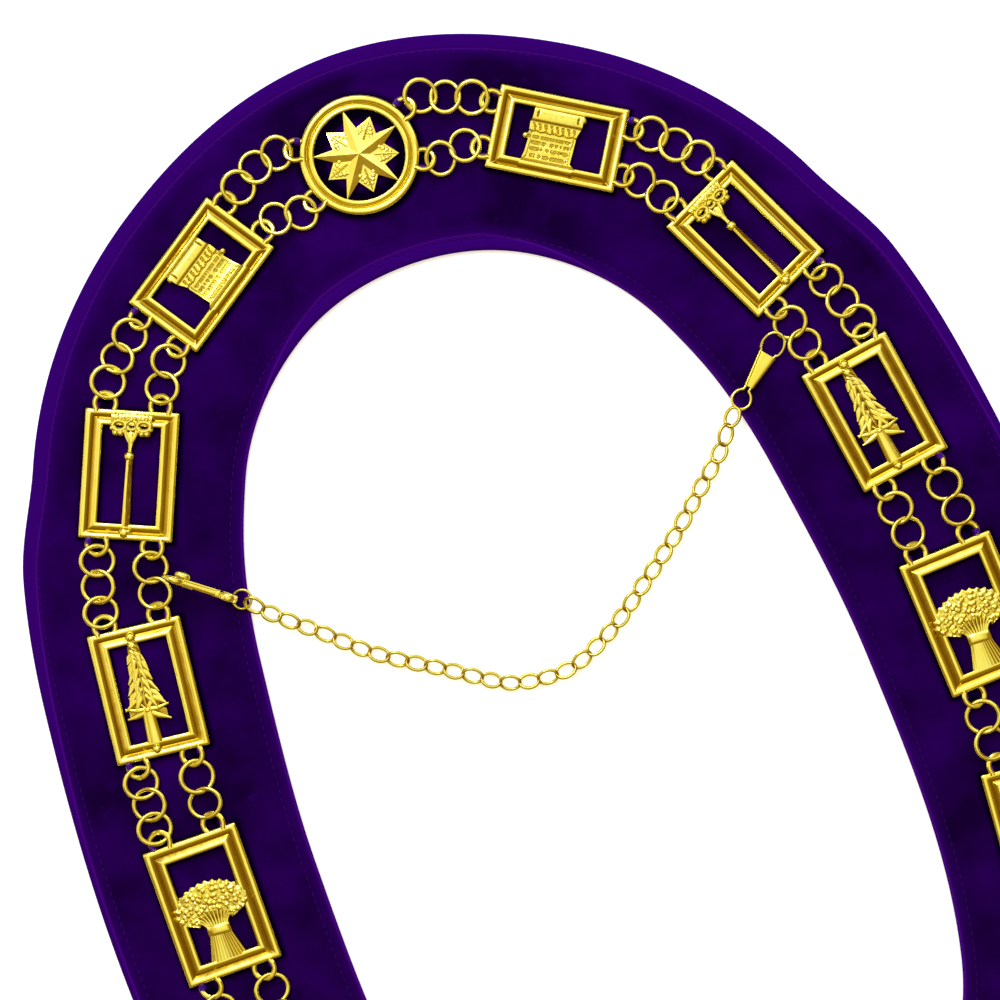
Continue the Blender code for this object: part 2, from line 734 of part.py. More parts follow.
def smooth_route(stops, step):
    """Points about a step apart on a smooth curve through the stops."""
    ends = [2 * stops[0] - stops[1]] + stops + [2 * stops[-1] - stops[-2]]
    points = [stops[0]]
    for before, start, end, after in zip(ends, ends[1:], ends[2:], ends[3:]):
        count = max(1, round((end - start).length / step))
        for i in range(1, count + 1):
            t = i / count
            points.append(0.5 * (
                2 * start + (end - before) * t
                + (2 * before - 5 * start + 4 * end - after) * t ** 2
                + (3 * start - before - 3 * end + after) * t ** 3
            ))
    return points


def safety_chain():
    """The chain across the neck opening, as one tube of its links' outline."""
    stops = [Vector((across, NAPE_Y - down, z)) for across, down, z in CHAIN_ROUTE]
    mesh = tube(smooth_route(stops, CHAIN_STEP), CHAIN_RADIUS, 1)
    put("safety_chain", mesh, gilt("safety_chain"))


for leftover in list(bpy.data.objects):
    bpy.data.objects.remove(leftover)
parts = collection(COLLECTION)
cutters = collection("joining_bodies")
velvet_collar()
medallions()
strands()
snaps()
safety_chain()
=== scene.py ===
"""Chain collar of regalia, dressed: purple velvet, gilt medallions, rings and a safety chain.

The script follows the collar as it is put together, from the velvet up to the safety chain,
and ends with the studio. X runs across the collar, +Y points to the nape and +Z is up.
"""
import math
from collections import namedtuple

import bmesh
import bpy
from mathutils import Matrix, Vector, noise


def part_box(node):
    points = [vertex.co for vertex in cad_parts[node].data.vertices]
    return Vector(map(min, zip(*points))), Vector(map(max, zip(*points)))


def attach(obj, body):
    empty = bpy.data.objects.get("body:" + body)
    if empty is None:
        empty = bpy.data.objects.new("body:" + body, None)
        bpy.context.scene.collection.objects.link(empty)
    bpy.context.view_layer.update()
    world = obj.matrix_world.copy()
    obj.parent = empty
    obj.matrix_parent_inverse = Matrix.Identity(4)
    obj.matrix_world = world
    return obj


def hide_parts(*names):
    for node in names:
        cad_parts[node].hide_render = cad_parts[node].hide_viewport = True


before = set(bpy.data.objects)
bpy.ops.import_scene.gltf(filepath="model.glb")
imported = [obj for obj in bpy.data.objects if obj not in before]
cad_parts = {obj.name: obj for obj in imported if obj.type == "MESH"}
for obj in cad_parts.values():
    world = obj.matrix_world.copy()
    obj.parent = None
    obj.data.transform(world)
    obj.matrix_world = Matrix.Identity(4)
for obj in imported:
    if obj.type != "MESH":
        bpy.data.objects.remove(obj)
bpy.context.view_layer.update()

# ---------------------------------------------------------------- velvet collar
# Cotton velvet over stiff padding, cut as a horseshoe whose two legs meet in a V. The edges are
# rolled round the padding and held down by topstitching, which draws a furrow beside each edge.
# The cloth follows the chain's middle line, a row of bends from the nape to the point of the V.
Bend = namedtuple("Bend", "length turn outer inner")
NAPE_OUTER = 0.0418
NAPE_INNER = 0.0476
BENDS = (
    Bend(0.0800, 32.5, 0.0383, 0.0468),
    Bend(0.0856, 33.0, 0.0390, 0.0461),
    Bend(0.0394, 8.0, 0.0432, 0.0456),
    Bend(0.0470, 9.0, 0.0428, 0.0458),
    Bend(0.0890, 6.0, 0.0435, 0.0441),
    Bend(0.0910, 7.0, 0.0435, 0.0422),
    Bend(0.0480, 9.0, 0.0435, 0.0420),
    Bend(0.0880, 34.5, 0.0435, 0.0420),
)
nape_low, nape_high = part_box("star_medallion")
NAPE_Y = (nape_low.y + nape_high.y) / 2
cloth_low, cloth_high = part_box("velvet_collar")
CLOTH_TOP = cloth_high.z
ROLL = CLOTH_TOP / 2
CLOTH_STEP = 0.0022
OUTER_STITCH = 0.0064
INNER_STITCH = 0.0052
FURROW_DEPTH = 0.00055
FURROW_WIDTH = 0.0007
FURROW_LANES = (-2.4, -1.5, -0.8, 0.0, 0.8, 1.5, 2.4)
EDGE_LANES = (0.0, 0.00012, 0.0004, 0.0009, 0.0015, 0.0024, 0.0036)
MIDDLE_LANES = 30
UNDER_LANES = 8
UNDER_TURN = 0.0015
NAP_RIPPLE = 0.00022
RIPPLE_EASE = 0.004
BROAD_RIPPLES = 60
FINE_RIPPLES = 190
CLOTH_CREASE = 60
# Down the legs the painted sheen beside an edge fades: by how much, and the stretch of the leg over which it
# starts.
OUTER_SHEEN_FADE = (0.0036, 0.180, 0.300)
INNER_SHEEN_FADE = (0.0055, 0.050, 0.120)


def middle_line(along):
    """The point and heading of the chain's middle line; the heading is 0 at the nape."""
    x, y, heading, left = 0.0, NAPE_Y, 0.0, along
    for bend in BENDS:
        step = min(left, bend.length)
        half_turn = math.radians(bend.turn) * step / bend.length / 2
        chord = step * math.sin(half_turn) / half_turn if half_turn else step
        x += chord * math.cos(heading + half_turn)
        y -= chord * math.sin(heading + half_turn)
        heading += 2 * half_turn
        left -= step
    return Vector((x + left * math.cos(heading), y - left * math.sin(heading), 0.0)), heading


def outward(heading):
    """The direction across the chain, away from the neck."""
    return Vector((math.sin(heading), math.cos(heading), 0.0))


def onward(heading):
    """The direction along the chain, away from the nape."""
    return Vector((math.cos(heading), -math.sin(heading), 0.0))


def cloth_widths(along):
    """The cloth's outer and inner widths beside the middle line, eased from row to row."""
    outer, inner, start = NAPE_OUTER, NAPE_INNER, 0.0
    for bend in BENDS:
        if along <= start + bend.length:
            share = (along - start) / bend.length
            ease = share * share * (3 - 2 * share)
            return outer + (bend.outer - outer) * ease, inner + (bend.inner - inner) * ease
        outer, inner = bend.outer, bend.inner
        start += bend.length
    return outer, inner


BENDS_END = sum(bend.length for bend in BENDS)
bends_end_spot, V_HEADING = middle_line(BENDS_END)
V_ALONG = BENDS_END - bends_end_spot.x / math.cos(V_HEADING)


def cloth_across(along, across):
    """A flat point on the cloth of the right half, mitred on the axis near the V's point."""
    if along <= BENDS_END:
        spot, heading = middle_line(along)
        return spot + across * outward(heading)
    start = bends_end_spot + across * outward(V_HEADING)
    to_axis = start.x / -math.cos(V_HEADING)
    share = (along - BENDS_END) / (V_ALONG - BENDS_END)
    return start + onward(V_HEADING) * to_axis * share


def furrow(distance):
    """How deep the stitching pulls the cloth down at a distance from it."""
    return FURROW_DEPTH * math.exp(-(distance / FURROW_WIDTH) ** 2)


def rolled(edge):
    """Half the cloth's thickness at a distance from its edge."""
    return ROLL if edge >= ROLL else math.sqrt(ROLL ** 2 - (ROLL - edge) ** 2)


def spaced(low, high, steps):
    """Even values from one to another, both of them included."""
    return [low + (high - low) * k / steps for k in range(steps + 1)]


def edge_lanes(stitch):
    """Distances from an edge that draw its roll and its furrow."""
    return list(EDGE_LANES) + [stitch + FURROW_WIDTH * k for k in FURROW_LANES]


def cloth_lanes(width):
    """Distances from the outer edge of every lane on the upper side."""
    near = edge_lanes(OUTER_STITCH)
    far = [width - lane for lane in reversed(edge_lanes(INNER_STITCH))]
    return near + spaced(near[-1], far[0], MIDDLE_LANES + 1)[1:-1] + far


def cloth_section(along, side):
    """One closed section: over the top from the outer edge to the inner one, then back below.

    Each point comes with its distance from the edge, which places the velvet's painted sheen. Down the legs
    that painted sheen fades at the edges, which is told by a longer distance there.
    """
    fades = []
    for most, low, high in (OUTER_SHEEN_FADE, INNER_SHEEN_FADE):
        fades.append(most * min(1.0, max(0.0, (along - low) / (high - low))))
    outer, inner = cloth_widths(along)
    width = outer + inner
    section = []
    for lane in cloth_lanes(width):
        flat = cloth_across(along, outer - lane)
        edge = min(lane, width - lane)
        height = ROLL + rolled(edge)
        height -= furrow(lane - OUTER_STITCH) + furrow(width - lane - INNER_STITCH)
        ripple = noise.noise(Vector((side * flat.x, flat.y, 0.0)) * BROAD_RIPPLES)
        ripple += 0.5 * noise.noise(Vector((side * flat.x, flat.y, 7.0)) * FINE_RIPPLES)
        height -= NAP_RIPPLE * (0.5 + ripple) * min(1.0, edge / RIPPLE_EASE)
        told = edge + fades[lane > width / 2]
        section.append((Vector((side * flat.x, flat.y, min(height, CLOTH_TOP))), told))
    for lane in (width - UNDER_TURN, *spaced(width, 0.0, UNDER_LANES)[2:-2], UNDER_TURN):
        flat = cloth_across(along, outer - lane)
        section.append((Vector((side * flat.x, flat.y, 0.0)), min(lane, width - lane)))
    return section


def skin(build, rings, looped=False, capped=True):
    """Join rings of equally many points with faces, and close the first and last one."""
    rows = [[build.verts.new(point) for point in ring] for ring in rings]
    pairs = list(zip(rows, rows[1:]))
    if looped:
        pairs.append((rows[-1], rows[0]))
    for low, high in pairs:
        for i in range(len(low)):
            j = (i + 1) % len(low)
            build.faces.new((low[i], low[j], high[j], high[i]))
    if capped and not looped:
        build.faces.new(rows[0])
        build.faces.new(reversed(rows[-1]))
    return rows


def dressed(name, mesh, material, nodes, crease):
    """Give a mesh its object, material and shading, and put it on the collar."""
    mesh.materials.clear()
    mesh.materials.append(material)
    mesh.shade_smooth()
    mesh.set_sharp_from_angle(angle=math.radians(crease))
    piece = bpy.data.objects.new(name, mesh)
    bpy.context.scene.collection.objects.link(piece)
    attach(piece, "root")
    if nodes:
        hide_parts(*nodes)
    return piece


def finished(name, build, material, nodes, crease):
    """Make a piece from a bmesh, its faces turned outwards."""
    bmesh.ops.recalc_face_normals(build, faces=build.faces)
    mesh = bpy.data.meshes.new(name)
    build.to_mesh(mesh)
    build.free()
    return dressed(name, mesh, material, nodes, crease)


def feed(tree, place, value):
    """Give an input a socket to read or a value of its own; a colour is three numbers."""
    if isinstance(value, bpy.types.NodeSocket):
        tree.links.new(value, place)
    else:
        place.default_value = (*value, 1.0) if place.type == "RGBA" else value


def set_inputs(tree, node, **values):
    """Feed a node's inputs by their names, written with _ for a space."""
    for key, value in values.items():
        feed(tree, node.inputs[key.replace("_", " ")], value)


def node_in(tree, kind, **values):
    """Add a node, with its settings and its inputs by their names."""
    made = tree.nodes.new(kind)
    for key, value in values.items():
        if hasattr(made, key):
            setattr(made, key, value)
        else:
            set_inputs(tree, made, **{key: value})
    return made


def out_of(tree, kind, output=0, **values):
    """Add a node and take one of its results, the first one unless another is named."""
    return node_in(tree, kind, **values).outputs[output]


def new_group(name, kind, inputs, outputs):
    """A node group with named sockets; returns it, what it is given and what it puts out."""
    group = bpy.data.node_groups.new(name, kind)
    for way, sockets in (("INPUT", inputs), ("OUTPUT", outputs)):
        for title, sort in sockets.items():
            group.interface.new_socket(title, in_out=way, socket_type="NodeSocket" + sort)
    return group, node_in(group, "NodeGroupInput").outputs, node_in(group, "NodeGroupOutput").inputs


def new_material(name):
    """A material with its tree, its shader and Object coordinates."""
    material = bpy.data.materials.new(name)
    material.use_nodes = True
    tree = material.node_tree
    return material, tree, tree.nodes["Principled BSDF"], out_of(tree, "ShaderNodeTexCoord", "Object")


def maths(tree, operation, *values, kind="ShaderNodeMath"):
    """Work out a value from the inputs of a math node in their order."""
    made = node_in(tree, kind, operation=operation)
    for place, value in zip(made.inputs, values):
        feed(tree, place, value)
    return made.outputs["Value" if operation == "LENGTH" else 0]


def vector_maths(tree, operation, *values):
    """The same on vectors."""
    return maths(tree, operation, *values, kind="ShaderNodeVectorMath")


def noise_in(tree, coordinates, scale, detail=2.0, roughness=0.5):
    """A noise texture's value on given coordinates, from about 0.3 to 0.7."""
    return out_of(
        tree, "ShaderNodeTexNoise", Vector=coordinates, Scale=scale, Detail=detail, Roughness=roughness
    )


def ramp_in(tree, source, low, high, **more):
    """Spread a value between two limits over 0 to 1, or over other ends."""
    return out_of(tree, "ShaderNodeMapRange", clamp=True, Value=source, From_Min=low, From_Max=high, **more)


def typed(sockets, kind, name=None):
    """The first socket of a type, and of a name where one is given."""
    return next(socket for socket in sockets if socket.type == kind and name in (None, socket.name))


def blend_in(tree, factor, first, second):
    """Mix two colours, each three numbers or a socket."""
    made = node_in(tree, "ShaderNodeMix", data_type="RGBA", Factor=factor)
    feed(tree, typed(made.inputs, "RGBA", "A"), first)
    feed(tree, typed(made.inputs, "RGBA", "B"), second)
    return typed(made.outputs, "RGBA")


def bump_in(tree, height, strength, distance):
    """A bump from a height value."""
    return out_of(tree, "ShaderNodeBump", Strength=strength, Distance=distance, Height=height)


# The velvet's colours: a dark and a light tone that mottle at random, a lighter one for streaks, a painted
# highlight along the stitching, the tint of the shader's own sheen and a painted shadow beside the castings.
# The light ones also paint a sheen on the bands beside the edges; last come where the stitching line lies
# and where that painted sheen starts from the edge.
NAP_DARK = (0.0074, 0.00005, 0.034)
NAP_LIGHT = (0.0220, 0.0001, 0.111)
NAP_EDGE = (0.0315, 0.0004, 0.158)
NAP_SEAM_HIGHLIGHT = (0.0540, 0.0018, 0.215)
NAP_SHEEN = (0.26, 0.0, 1.0)
NAP_SHADOW = (0.0020, 0.0, 0.0085)
SEAM_LINE = 0.0062
SEAM_HALF_WIDTH = 0.0004
SHOULDER_START = 0.0115
RIM_START = 0.0072
# A painted shadow on the pile round each casting, in millimetres from its middle: the frame's corner, the
# foot of an eye, and how near to each the painted shadow is full and how far off it is gone; then the
# frame's open inside, which the painted shadow does not reach.
FRAME_EDGE = (18.0, 27.0)
EYE_SHADOW_SPOT = (11.0, 31.0)
FRAME_SHADOW_REACH = (0.1, 2.6)
EYE_SHADOW_REACH = (1.0, 4.6)
OPEN_INSIDE = (8.4, 6.6)


def pressed_nap():
    """A group that tells how dark the painted shadow beside a frame is, from a place in millimetres."""
    group, given, result = new_group(
        "pressed_nap", "ShaderNodeTree", {"Place": "Vector"}, {"Pressed": "Float"}
    )
    quarter = vector_maths(group, "ABSOLUTE", given["Place"])
    shades = []
    for corner, (near, far) in ((FRAME_EDGE, FRAME_SHADOW_REACH), (EYE_SHADOW_SPOT, EYE_SHADOW_REACH)):
        beyond = vector_maths(group, "SUBTRACT", quarter, (*corner, 0.0))
        if corner == FRAME_EDGE:
            beyond = vector_maths(group, "MAXIMUM", beyond, (0.0, 0.0, 0.0))
        gap = vector_maths(group, "LENGTH", beyond)
        shades.append(ramp_in(group, gap, far, near, interpolation_type="SMOOTHSTEP"))
    apart = node_in(group, "ShaderNodeSeparateXYZ", Vector=quarter).outputs
    rails = []
    for axis, edge in zip("XY", FRAME_EDGE):
        rails.append(ramp_in(group, apart[axis], edge - OPEN_INSIDE[0], edge - OPEN_INSIDE[1]))
    beside, under = maths(group, "MAXIMUM", *shades), maths(group, "MAXIMUM", *rails)
    feed(group, result["Pressed"], maths(group, "MULTIPLY", beside, under))
    return group


velvet, tree, shader, where = new_material("purple_velvet")
patches = noise_in(tree, where, 26.0, 3.0, 0.55)
strokes = noise_in(tree, where, 150.0, 4.0, 0.6)
pile = noise_in(tree, where, 1900.0, 2.0, 0.6)
from_edge = out_of(tree, "ShaderNodeAttribute", "Fac", attribute_name="from_edge")
colour = blend_in(tree, ramp_in(tree, patches, 0.36, 0.68), NAP_DARK, NAP_LIGHT)
colour = blend_in(tree, ramp_in(tree, strokes, 0.60, 1.10), colour, NAP_EDGE)
# The bands beside the edges are painted lighter out to the stitching, a painted sheen where the rolled edges
# catch the light.
colour = blend_in(tree, ramp_in(tree, from_edge, SHOULDER_START, SEAM_LINE), colour, NAP_LIGHT)
colour = blend_in(tree, ramp_in(tree, from_edge, RIM_START, SEAM_LINE), colour, NAP_EDGE)
# A thin line along the stitching's furrow is painted lighter, a painted highlight.
seam_highlight = maths(tree, "COMPARE", from_edge, SEAM_LINE, SEAM_HALF_WIDTH)
colour = blend_in(tree, seam_highlight, colour, NAP_SEAM_HIGHLIGHT)
# A painted shadow darkens the pile beside each casting and by the feet of its eyes.
place = out_of(tree, "ShaderNodeUVMap", uv_map="by_casting")
contact_shadow = out_of(tree, "ShaderNodeGroup", node_tree=pressed_nap(), Place=place)
set_inputs(
    tree, shader, Base_Color=blend_in(tree, contact_shadow, colour, NAP_SHADOW), Roughness=1.0,
    Normal=bump_in(tree, pile, 0.4, 0.0003), Specular_IOR_Level=0.0,
    Sheen_Weight=0.12, Sheen_Roughness=0.5, Sheen_Tint=NAP_SHEEN,
)

stations = []
along = 0.0
while along < V_ALONG - CLOTH_STEP / 2:
    stations.append(along)
    along += CLOTH_STEP
stations.append(V_ALONG)
circuit = [(along, 1) for along in stations] + [(along, -1) for along in reversed(stations[1:-1])]
sections = [cloth_section(along, side) for along, side in circuit]
cloth = bmesh.new()
skin(cloth, [[point for point, edge in section] for section in sections], looped=True)
collar = finished("velvet_collar_cloth", cloth, velvet, ["velvet_collar"], CLOTH_CREASE)
edge_distance = collar.data.attributes.new("from_edge", "FLOAT", "POINT")
edge_distance.data.foreach_set("value", [edge for section in sections for point, edge in section])

# ---------------------------------------------------------------- topstitching
# Two rows of purple thread, one beside each edge, sewn through the velvet and its padding. A
# stitch is 2.5 mm long and lies in the furrow that the thread has drawn.
STITCH_PITCH = 0.0033
STITCH_LENGTH = 0.0025
THREAD_RADIUS = 0.00022
THREAD_CREASE = 80
THREAD_COLOUR = (0.055, 0.002, 0.210)
THREAD_SHADE = (0.030, 0.0005, 0.120)


def thread_material(name, shade, colour, roughness, gloss):
    """Twisted thread, darker between its strands."""
    material, tree, shader, where = new_material(name)
    twist = noise_in(tree, where, 2600.0)
    set_inputs(
        tree, shader, Base_Color=blend_in(tree, twist, shade, colour), Roughness=roughness,
        Normal=bump_in(tree, twist, 0.6, 0.0002), Specular_IOR_Level=gloss,
    )
    return material


def path_tree(name, *sizes):
    """A geometry tree that takes a path, a material and named sizes; returns it and its ends."""
    inputs = {"Path": "Geometry", "Material": "Material"}
    inputs.update({size: "Int" if size in ("Count", "Seed") else "Float" for size in sizes})
    return new_group(name, "GeometryNodeTree", inputs, {"Geometry": "Geometry"})


def along_path(tree, given):
    """Counted points along the path, and the rotation that turns X along it and keeps Z up."""
    row = node_in(tree, "GeometryNodeCurveToPoints", mode="COUNT", Curve=given["Path"], Count=given["Count"])
    ahead = row.outputs["Tangent"]
    turn = out_of(tree, "FunctionNodeAlignRotationToVector", axis="X", pivot_axis="Z", Vector=ahead)
    return row.outputs["Points"], turn


def planted(tree, given, result, points, instance, **lie):
    """Plant an instance on points, make it real, give it the material and put it out."""
    plant = out_of(tree, "GeometryNodeInstanceOnPoints", Points=points, Instance=instance, **lie)
    real = out_of(tree, "GeometryNodeRealizeInstances", Geometry=plant)
    paint = out_of(tree, "GeometryNodeSetMaterial", Geometry=real, Material=given["Material"])
    feed(tree, result["Geometry"], paint)


def grown(paths, tree, closed=False, **sizes):
    """Run a tree on paths of points and return the plain mesh that it makes."""
    curve = bpy.data.curves.new("path", "CURVE")
    curve.dimensions = "3D"
    for path in paths:
        spline = curve.splines.new("POLY")
        spline.points.add(len(path) - 1)
        for spot, point in zip(spline.points, path):
            spot.co = (*point, 1.0)
        spline.use_cyclic_u = closed
    guide = bpy.data.objects.new("path", curve)
    bpy.context.scene.collection.objects.link(guide)
    grower = guide.modifiers.new("grow", "NODES")
    grower.node_group = tree
    for item in tree.interface.items_tree:
        key = item.name.replace(" ", "_")
        if item.in_out == "INPUT" and key in sizes:
            grower[item.identifier] = sizes[key]
    bpy.context.view_layer.update()
    graph = bpy.context.evaluated_depsgraph_get()
    mesh = bpy.data.meshes.new_from_object(guide.evaluated_get(graph))
    bpy.data.objects.remove(guide)
    bpy.data.curves.remove(curve)
    return mesh


thread = thread_material("purple_thread", THREAD_SHADE, THREAD_COLOUR, 0.75, 0.08)
stitch_tree, given, result = path_tree("topstitch", "Count", "Length", "Radius")
points, lie = along_path(stitch_tree, given)
ball = out_of(stitch_tree, "GeometryNodeMeshUVSphere", Segments=6, Rings=5, Radius=1.0)
half_length = maths(stitch_tree, "MULTIPLY", given["Length"], 0.5)
stretch = out_of(stitch_tree, "ShaderNodeCombineXYZ", X=half_length, Y=given["Radius"], Z=given["Radius"])
planted(stitch_tree, given, result, points, ball, Rotation=lie, Scale=stretch)


def stitch_row(name, across_of):
    """One row of stitches round the whole collar; across_of gives its place on the cloth."""
    path = []
    for along, side in circuit:
        flat = cloth_across(along, across_of(*cloth_widths(along)))
        path.append(Vector((side * flat.x, flat.y, CLOTH_TOP - FURROW_DEPTH + THREAD_RADIUS)))
    count = round(sum((b - a).length for a, b in zip(path, path[1:])) / STITCH_PITCH)
    mesh = grown(
        [path], stitch_tree, closed=True, Material=thread, Count=count, Length=STITCH_LENGTH,
        Radius=THREAD_RADIUS,
    )
    return dressed(name, mesh, thread, [], THREAD_CREASE)


stitch_row("outer_topstitching", lambda outer, inner: outer - OUTER_STITCH)
stitch_row("inner_topstitching", lambda outer, inner: INNER_STITCH - inner)

# ---------------------------------------------------------------- gilt castings
# Pierced medallions of cast and polished brass, gilt all over. Their gilding is brown in the hollows and at
# edges, partly the patina left there and partly painted shade. Each is a moulded frame with four eyes of
# bent wire soldered on, and those of the upper half have an emblem across them.
MM = 0.001
UP = Vector((0.0, 0.0, 1.0))
METAL_BASE = nape_low.z
GILT_BRIGHT = (0.93, 0.845, 0.182)
GILT_DEEP = (0.90, 0.770, 0.105)
# The brown of the patina left in the hollows, also used for painted shade.
GILT_BROWN = (0.420, 0.250, 0.002)


def gilt_wear():
    """A group that tones the gilding, browning it for patina and painted shade: a colour, how rough it is,
    and the casting's waves.
    """
    tones = {"Bright": "Color", "Deep": "Color", "Brown": "Color"}
    group, given, result = new_group(
        "gilt_wear", "ShaderNodeTree", {"Position": "Vector", "Hollow": "Float", "Tone": "Float", **tones},
        {"Colour": "Color", "Roughness": "Float", "Waves": "Float"},
    )
    broad = noise_in(group, given["Position"], 120.0, 2.0, 0.5)
    fine = noise_in(group, given["Position"], 900.0, 3.0, 0.6)
    patch = maths(group, "MULTIPLY", ramp_in(group, broad, 0.35, 0.65), given["Tone"])
    gold = blend_in(group, patch, given["Bright"], given["Deep"])
    feed(group, result["Colour"], blend_in(group, given["Hollow"], gold, given["Brown"]))
    feed(group, result["Roughness"], ramp_in(group, fine, 0.0, 1.0, To_Min=0.16, To_Max=0.26))
    feed(group, result["Waves"], maths(group, "MULTIPLY_ADD", fine, 0.03, broad))
    return group


WEAR = gilt_wear()


# Shade darkens the whole gilding: a painted shade for wire that is to look less lit.
def gilt(name, tone, wave, shade=1.0):
    """A gilt metal; the mesh's own attribute tells where it is brown with patina and painted shade, and it
    may be missing.
    """
    material, tree, shader, where = new_material(name)
    hollow = out_of(tree, "ShaderNodeAttribute", "Fac", attribute_name="hollow")
    bright, deep = ([shade * share for share in colour] for colour in (GILT_BRIGHT, GILT_DEEP))
    wear = node_in(
        tree, "ShaderNodeGroup", node_tree=WEAR, Position=where, Hollow=hollow, Tone=tone,
        Bright=bright, Deep=deep, Brown=GILT_BROWN,
    ).outputs
    bump = bump_in(tree, wear["Waves"], 0.35, wave)
    set_inputs(
        tree, shader, Base_Color=wear["Colour"], Roughness=wear["Roughness"], Normal=bump, Metallic=1.0
    )
    return material


gilt_castings = gilt("gilt_castings", 0.8, 0.0004)

# Mouldings of the frames in a few stops: the share of the rail from the outside, the height in millimetres
# and how much brown lies there, patina and painted shade in the cove. A broad outer bead, a cove and an
# inner bead.
STRAIGHT_STOPS = (
    (0.00, 1.80, 0.0), (0.04, 2.15, 0.0), (0.12, 2.38, 0.0), (0.20, 2.42, 0.0), (0.28, 2.28, 0.0),
    (0.34, 2.02, 0.25), (0.41, 1.68, 0.7), (0.47, 1.40, 1.0), (0.51, 1.26, 1.0), (0.55, 1.38, 0.95),
    (0.62, 1.66, 0.6), (0.69, 1.96, 0.15), (0.77, 2.26, 0.0), (0.86, 2.38, 0.0), (0.95, 2.22, 0.0),
    (1.00, 1.85, 0.1),
)
ROUND_STOPS = (
    (0.00, 1.80, 0.0), (0.05, 2.15, 0.0), (0.14, 2.42, 0.0), (0.26, 2.50, 0.0), (0.37, 2.32, 0.0),
    (0.45, 1.98, 0.1), (0.51, 1.66, 0.8), (0.57, 1.52, 1.0), (0.62, 1.68, 0.6), (0.68, 2.06, 0.0),
    (0.77, 2.32, 0.0), (0.87, 2.36, 0.0), (0.95, 2.20, 0.0), (1.00, 1.85, 0.1),
)
# The moulding's sides down to the cloth are half brown, a painted shade at its foot.
FOOT_PAINTED_SHADE = 0.5
MOULDING_STEP = 0.07
MOULDING_SPAN = 6
CORNER_OUTER = 0.0005
CORNER_INNER = 0.0002
CORNER_STEPS = 4
RAIL_STEP = 0.0018
CAST_WAVE = 0.00005
CAST_WAVE_SCALE = 260
POLISH_SEED = 5
ROUND_RADIUS = 0.0238
ROUND_RAIL = 0.0056
ROUND_STEPS = 120
ROUND_EYE_ANGLE = 25.0
WIRE_SIDES = 10
EYE_RADIUS = 0.0042
EYE_OPEN = 34.0
EYE_REACH = 0.0076
EYE_ROUND_REACH = 0.0070
EYE_WIRE = 0.00110
EYE_ROOT = 0.0010
EYE_HEIGHT = 0.0015
EYE_TILT = 11.5

# The medallions from the nape to the point; a round one has no half length.
Medallion = namedtuple("Medallion", "name along half_width half_length side_rail end_rail eye_offset")
NAPE = Medallion("nape", 0.0, ROUND_RADIUS, None, ROUND_RAIL, ROUND_RAIL, None)
PLAIN = Medallion("upper_plain", 0.4320, 0.0190, 0.0272, 0.0073, 0.0068, 0.0110)
plain_pitch = (V_ALONG - PLAIN.along) / 3
PLAQUES = (
    Medallion("scroll", 0.0800, 0.0168, 0.0261, 0.0062, 0.0070, 0.0093),
    Medallion("sceptre", 0.1660, 0.0187, 0.0258, 0.0070, 0.0063, 0.0110),
    Medallion("sword", 0.2524, 0.0189, 0.0264, 0.0071, 0.0068, 0.0110),
    Medallion("sheaf", 0.3415, 0.0194, 0.0282, 0.0073, 0.0070, 0.0112),
    PLAIN,
    PLAIN._replace(name="middle_plain", along=PLAIN.along + plain_pitch),
    PLAIN._replace(name="lower_plain", along=PLAIN.along + 2 * plain_pitch),
)
STOPS = (NAPE, *PLAQUES, NAPE._replace(name="point", along=V_ALONG))


def placed(along, side, flip=False):
    """Where a medallion goes: its +Y points back to the nape, or away from it if flipped."""
    spot, heading = middle_line(along)
    turn = math.pi / 2 - heading + (math.pi if flip else 0.0)
    return Matrix.Translation((side * spot.x, spot.y, METAL_BASE)) @ Matrix.Rotation(side * turn, 4, "Z")


def casting():
    """A bmesh whose points also know how much patina and painted shade their place has."""
    build = bmesh.new()
    build.verts.layers.float.new("hollow")
    return build


def shaded(build, rows, brownings):
    """Write how much patina and painted shade each point of some rows has."""
    layer = build.verts.layers.float["hollow"]
    for row, row_brownings in zip(rows, brownings):
        for vert, browning in zip(row, row_brownings):
            vert[layer] = browning


def smooth_through(stops, step):
    """Points about a step apart on a smooth curve through some stops."""
    ends = [2 * stops[0] - stops[1]] + stops + [2 * stops[-1] - stops[-2]]
    points = [stops[0]]
    for before, start, end, after in zip(ends, ends[1:], ends[2:], ends[3:]):
        count = max(1, round((end - start).length / step))
        for t in spaced(0.0, 1.0, count)[1:]:
            points.append(0.5 * (
                2 * start + (end - before) * t
                + (2 * before - 5 * start + 4 * end - after) * t ** 2
                + (3 * start - before - 3 * end + after) * t ** 3
            ))
    return points


def moulding(rows):
    """A frame's profile, rounded through its stops and taken down to the cloth at both sides."""
    stops = [Vector((share, height / MOULDING_SPAN, brown)) for share, height, brown in rows]
    profile = smooth_through(stops, MOULDING_STEP)
    profile = [(stop.x, stop.y * MOULDING_SPAN, min(1.0, max(0.0, stop.z))) for stop in profile]
    return [(0.0, 0.0, FOOT_PAINTED_SHADE)] + profile + [(1.0, 0.0, FOOT_PAINTED_SHADE)]


STRAIGHT_MOULDING = moulding(STRAIGHT_STOPS)
ROUND_MOULDING = moulding(ROUND_STOPS)
# A fixed seed, because the noise of the polishing would start from another place each time.
noise.seed_set(POLISH_SEED)


def polished(point):
    """Move a point of a casting by the slight unevenness of hand polishing."""
    return point + CAST_WAVE * noise.noise_vector(point * CAST_WAVE_SCALE)


def moulded(build, rings, profile):
    """Join rings of a moulding and write where it is brown with patina and painted shade."""
    rows = skin(build, [[polished(point) for point in ring] for ring in rings], looped=True)
    shaded(build, rows, [[browning for share, height, browning in profile]] * len(rows))


